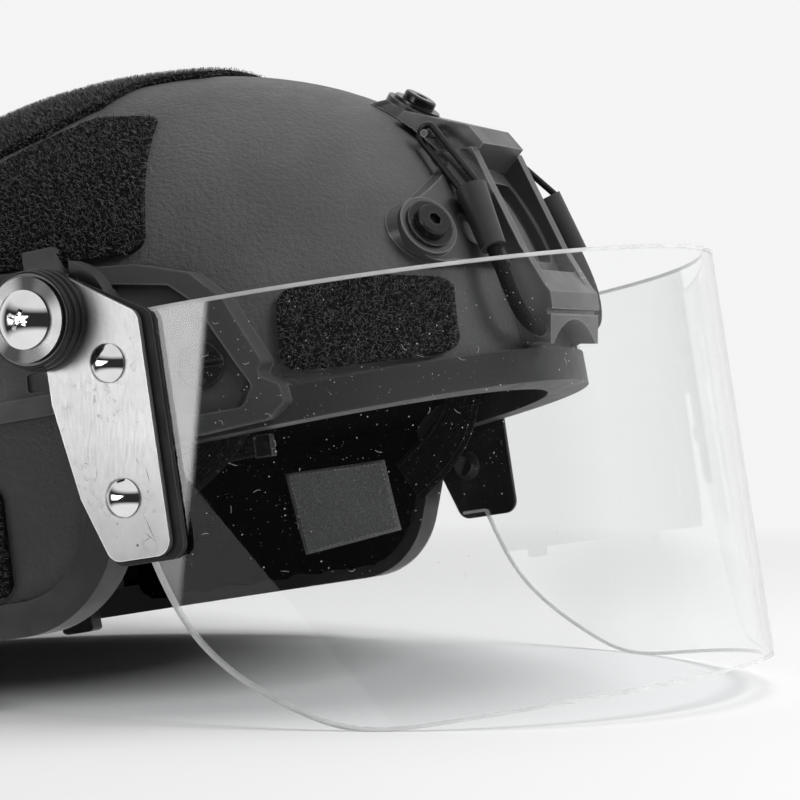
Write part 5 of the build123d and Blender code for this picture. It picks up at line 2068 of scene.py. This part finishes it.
@dataclass(frozen=True)
class Room:
    """What surrounds the helmet, by a direction's X, away from the camera, its Y, to the back, and its Z, up.

    A pair gives the parts of the direction between which a level changes.
    """

    backdrop: float = 0.91
    backdrop_from: Spot = (-0.25, 0.1)
    ambient: Spot = (0.02, 0.24)
    ambient_from: Spot = (-0.9, 0.6)
    ambient_rise: Spot = (-0.1, 0.8)
    ambient_shares: Spot = (0.1, 2.2)
    card: float = 6.3
    card_slope: float = 1.617
    card_start: float = 0.2233
    card_edge: Spot = (-0.01, 0.01)
    card_end: Spot = (0.93, 0.8)
    card_heights: Spot = (0.17, 0.12)
    card_foot: Spot = (-0.075, -0.02)
    card_foot_share: float = 0.42
    ceiling_from: Spot = (0.3, 0.55)
    ceiling: float = 0.85
    ground_from: Spot = (-0.3, -0.5)
    ground: float = 0.9
    walls: float = 0.03
    first_bounce: float = 0.5

    def mirrored(self, kit: NodeKit, way: list[Socket]) -> Socket:
        """What shines back from glossy faces: dark walls, a pale ceiling and ground and one bright card.

        Args:
            kit: the world's nodes.
            way: the parts of the direction.

        Returns:
            The level's socket.
        """
        slant = kit.plus(way[1], kit.sums("SUBTRACT", kit.times(way[2], self.card_slope), self.card_start))
        card = kit.times(kit.span(slant, self.card_edge), kit.span(way[1], self.card_end))
        card = kit.times(card, kit.span(kit.sums("ABSOLUTE", way[2]), self.card_heights))
        card = kit.times(card, kit.span(way[2], self.card_foot, self.card_foot_share))
        above = kit.span(way[2], self.ceiling_from, 0.0, self.ceiling)
        below = kit.span(way[2], self.ground_from, 0.0, self.ground)
        room = kit.plus(kit.plus(above, below), kit.times(card, self.card))
        behind = kit.span(way[0], self.backdrop_from)
        inputs = {0: behind, 2: kit.plus(room, self.walls), 3: self.backdrop}
        return kit.node("Mix", inputs, data_type="FLOAT").outputs[0]

    def build(self) -> None:
        """Makes the world."""
        world = bpy.data.worlds.new("surroundings")
        bpy.context.scene.world = world
        world.use_nodes = True
        kit = NodeKit(world.node_tree)
        way = kit.node("SeparateXYZ", {0: kit.node("TexCoord", {}).outputs["Generated"]}).outputs
        soft = kit.times(kit.span(way[0], self.ambient_from, *self.ambient),
                         kit.span(way[2], self.ambient_rise, *self.ambient_shares))
        rays = kit.node("LightPath", {}).outputs
        seen = kit.sums("MAXIMUM", rays["Is Camera Ray"], rays["Is Transmission Ray"])
        mirrored = kit.times(kit.sums("MAXIMUM", seen, rays["Is Glossy Ray"]),
                             kit.sums("GREATER_THAN", rays["Glossy Depth"], self.first_bounce))
        levels = (soft, self.backdrop, self.mirrored(kit, way))
        lights = [kit.node("Background", {"Color": (*grey(1.0), 1.0), "Strength": level}).outputs[0]
                  for level in levels]
        first = kit.node("MixShader", {0: seen, 1: lights[0], 2: lights[1]}).outputs[0]
        second = kit.node("MixShader", {0: mirrored, 1: first, 2: lights[2]}).outputs[0]
        kit.node("OutputWorld", {"Surface": second})


@dataclass(frozen=True)
class Lamp:
    """A soft rectangular lamp: its name, its place and its size in metres, and its power in watts."""

    name: str
    place: Place
    size: Spot
    power: float

    def build(self, aim: Vector) -> None:
        """Puts the lamp in the scene.

        Args:
            aim: the point it faces.
        """
        data = bpy.data.lights.new(self.name, "AREA")
        data.shape = "RECTANGLE"
        data.size, data.size_y = self.size
        data.energy = self.power
        light = linked(self.name, data)
        light.location = self.place
        light.rotation_mode = "QUATERNION"
        light.rotation_quaternion = (aim - Vector(self.place)).to_track_quat("-Z", "Y")
        light.visible_glossy = False


@dataclass
class Studio:
    """Pale floor, soft lamps, white surroundings and the camera at the photograph's angle."""

    camera_place: Place = (-0.82627, -0.44046, 0.11220)
    yaw: float = math.radians(25.38)
    fall: float = math.radians(0.95)
    roll: float = math.radians(-0.14)
    lens: float = 119.39
    sensor: float = 36.0
    clip: Spot = (0.01, 100.0)
    floor_size: float = 30.0
    floor_clouds: Patches = Patches(3, 2)
    floor_colours: tuple[Colour, Colour] = (grey(0.85), grey(0.87))
    floor_rough: float = 0.9
    floor_reach: Spot = (0.42, 0.85)
    room: Room = Room()
    aim: Place = (0.0, 0.0, 0.11)
    lamps: tuple[Lamp, ...] = (Lamp("top_lamp", (0.35, -0.3, 1.6), (1.1, 0.9), 11.0),
                               Lamp("front_lamp", (-0.05, -1.35, 1.25), (0.8, 0.6), 21.0))

    def camera(self) -> None:
        """Places the camera."""
        data = bpy.data.cameras.new("camera")
        data.lens = self.lens
        data.sensor_width = self.sensor
        data.clip_start, data.clip_end = self.clip
        eye = linked("camera", data)
        ahead = Vector((math.cos(self.yaw) * math.cos(self.fall), math.sin(self.yaw) * math.cos(self.fall),
                        -math.sin(self.fall)))
        right = Vector((math.sin(self.yaw), -math.cos(self.yaw), 0.0))
        turned = Matrix((right, right.cross(ahead), -ahead)).transposed()
        eye.matrix_world = (Matrix.Translation(Vector(self.camera_place)) @ turned.to_4x4()
                            @ Matrix.Rotation(self.roll, 4, "Z"))
        bpy.context.scene.camera = eye

    def floor(self) -> None:
        """Lays the floor, which glows like the backdrop where it is far off."""
        half = self.floor_size / 2
        corners = [(-half, -half, 0), (half, -half, 0), (half, half, 0), (-half, half, 0)]
        piece = linked("floor", mesh_of("floor", corners, [(0, 1, 2, 3)]))
        kit = Shades("pale_floor")
        kit.put(Base_Color=kit.blend(kit.patches(self.floor_clouds), *self.floor_colours),
                Roughness=self.floor_rough, Specular_IOR_Level=0.0)
        reach = kit.node("VectorMath", {0: kit.place}, operation="LENGTH").outputs["Value"]
        glow = kit.node("Emission", {"Color": (*grey(self.room.backdrop), 1.0), "Strength": 1.0})
        rays = kit.node("LightPath", {}).outputs
        seen = kit.sums("MAXIMUM", rays["Is Camera Ray"], rays["Is Transmission Ray"])
        share = kit.times(kit.span(reach, self.floor_reach), seen)
        kit.show(kit.node("MixShader", {0: share, 1: kit.shader.outputs[0], 2: glow.outputs[0]}))
        piece.visible_glossy = False
        piece.data.materials.append(kit.material)

    def build(self) -> None:
        """Sets the whole studio."""
        bpy.context.scene.view_settings.view_transform = "Standard"
        self.camera()
        self.floor()
        self.room.build()
        for lamp in self.lamps:
            lamp.build(Vector(self.aim))
        LOG.info("studio ready")


def main() -> None:
    """Builds the dressed helmet, piece by piece."""
    logging.basicConfig(level=logging.INFO, format="%(relativeCreated)6d %(name)s: %(message)s")
    Studio().build()
    dress_nodes()
    for part in (Lanyards, LoopPile, Padding, Webbing, BareLabel, DomedHeads, PlateMarks, ClearSheet,
                 ShieldDust):
        part().build()


if __name__ == "__main__":
    main()
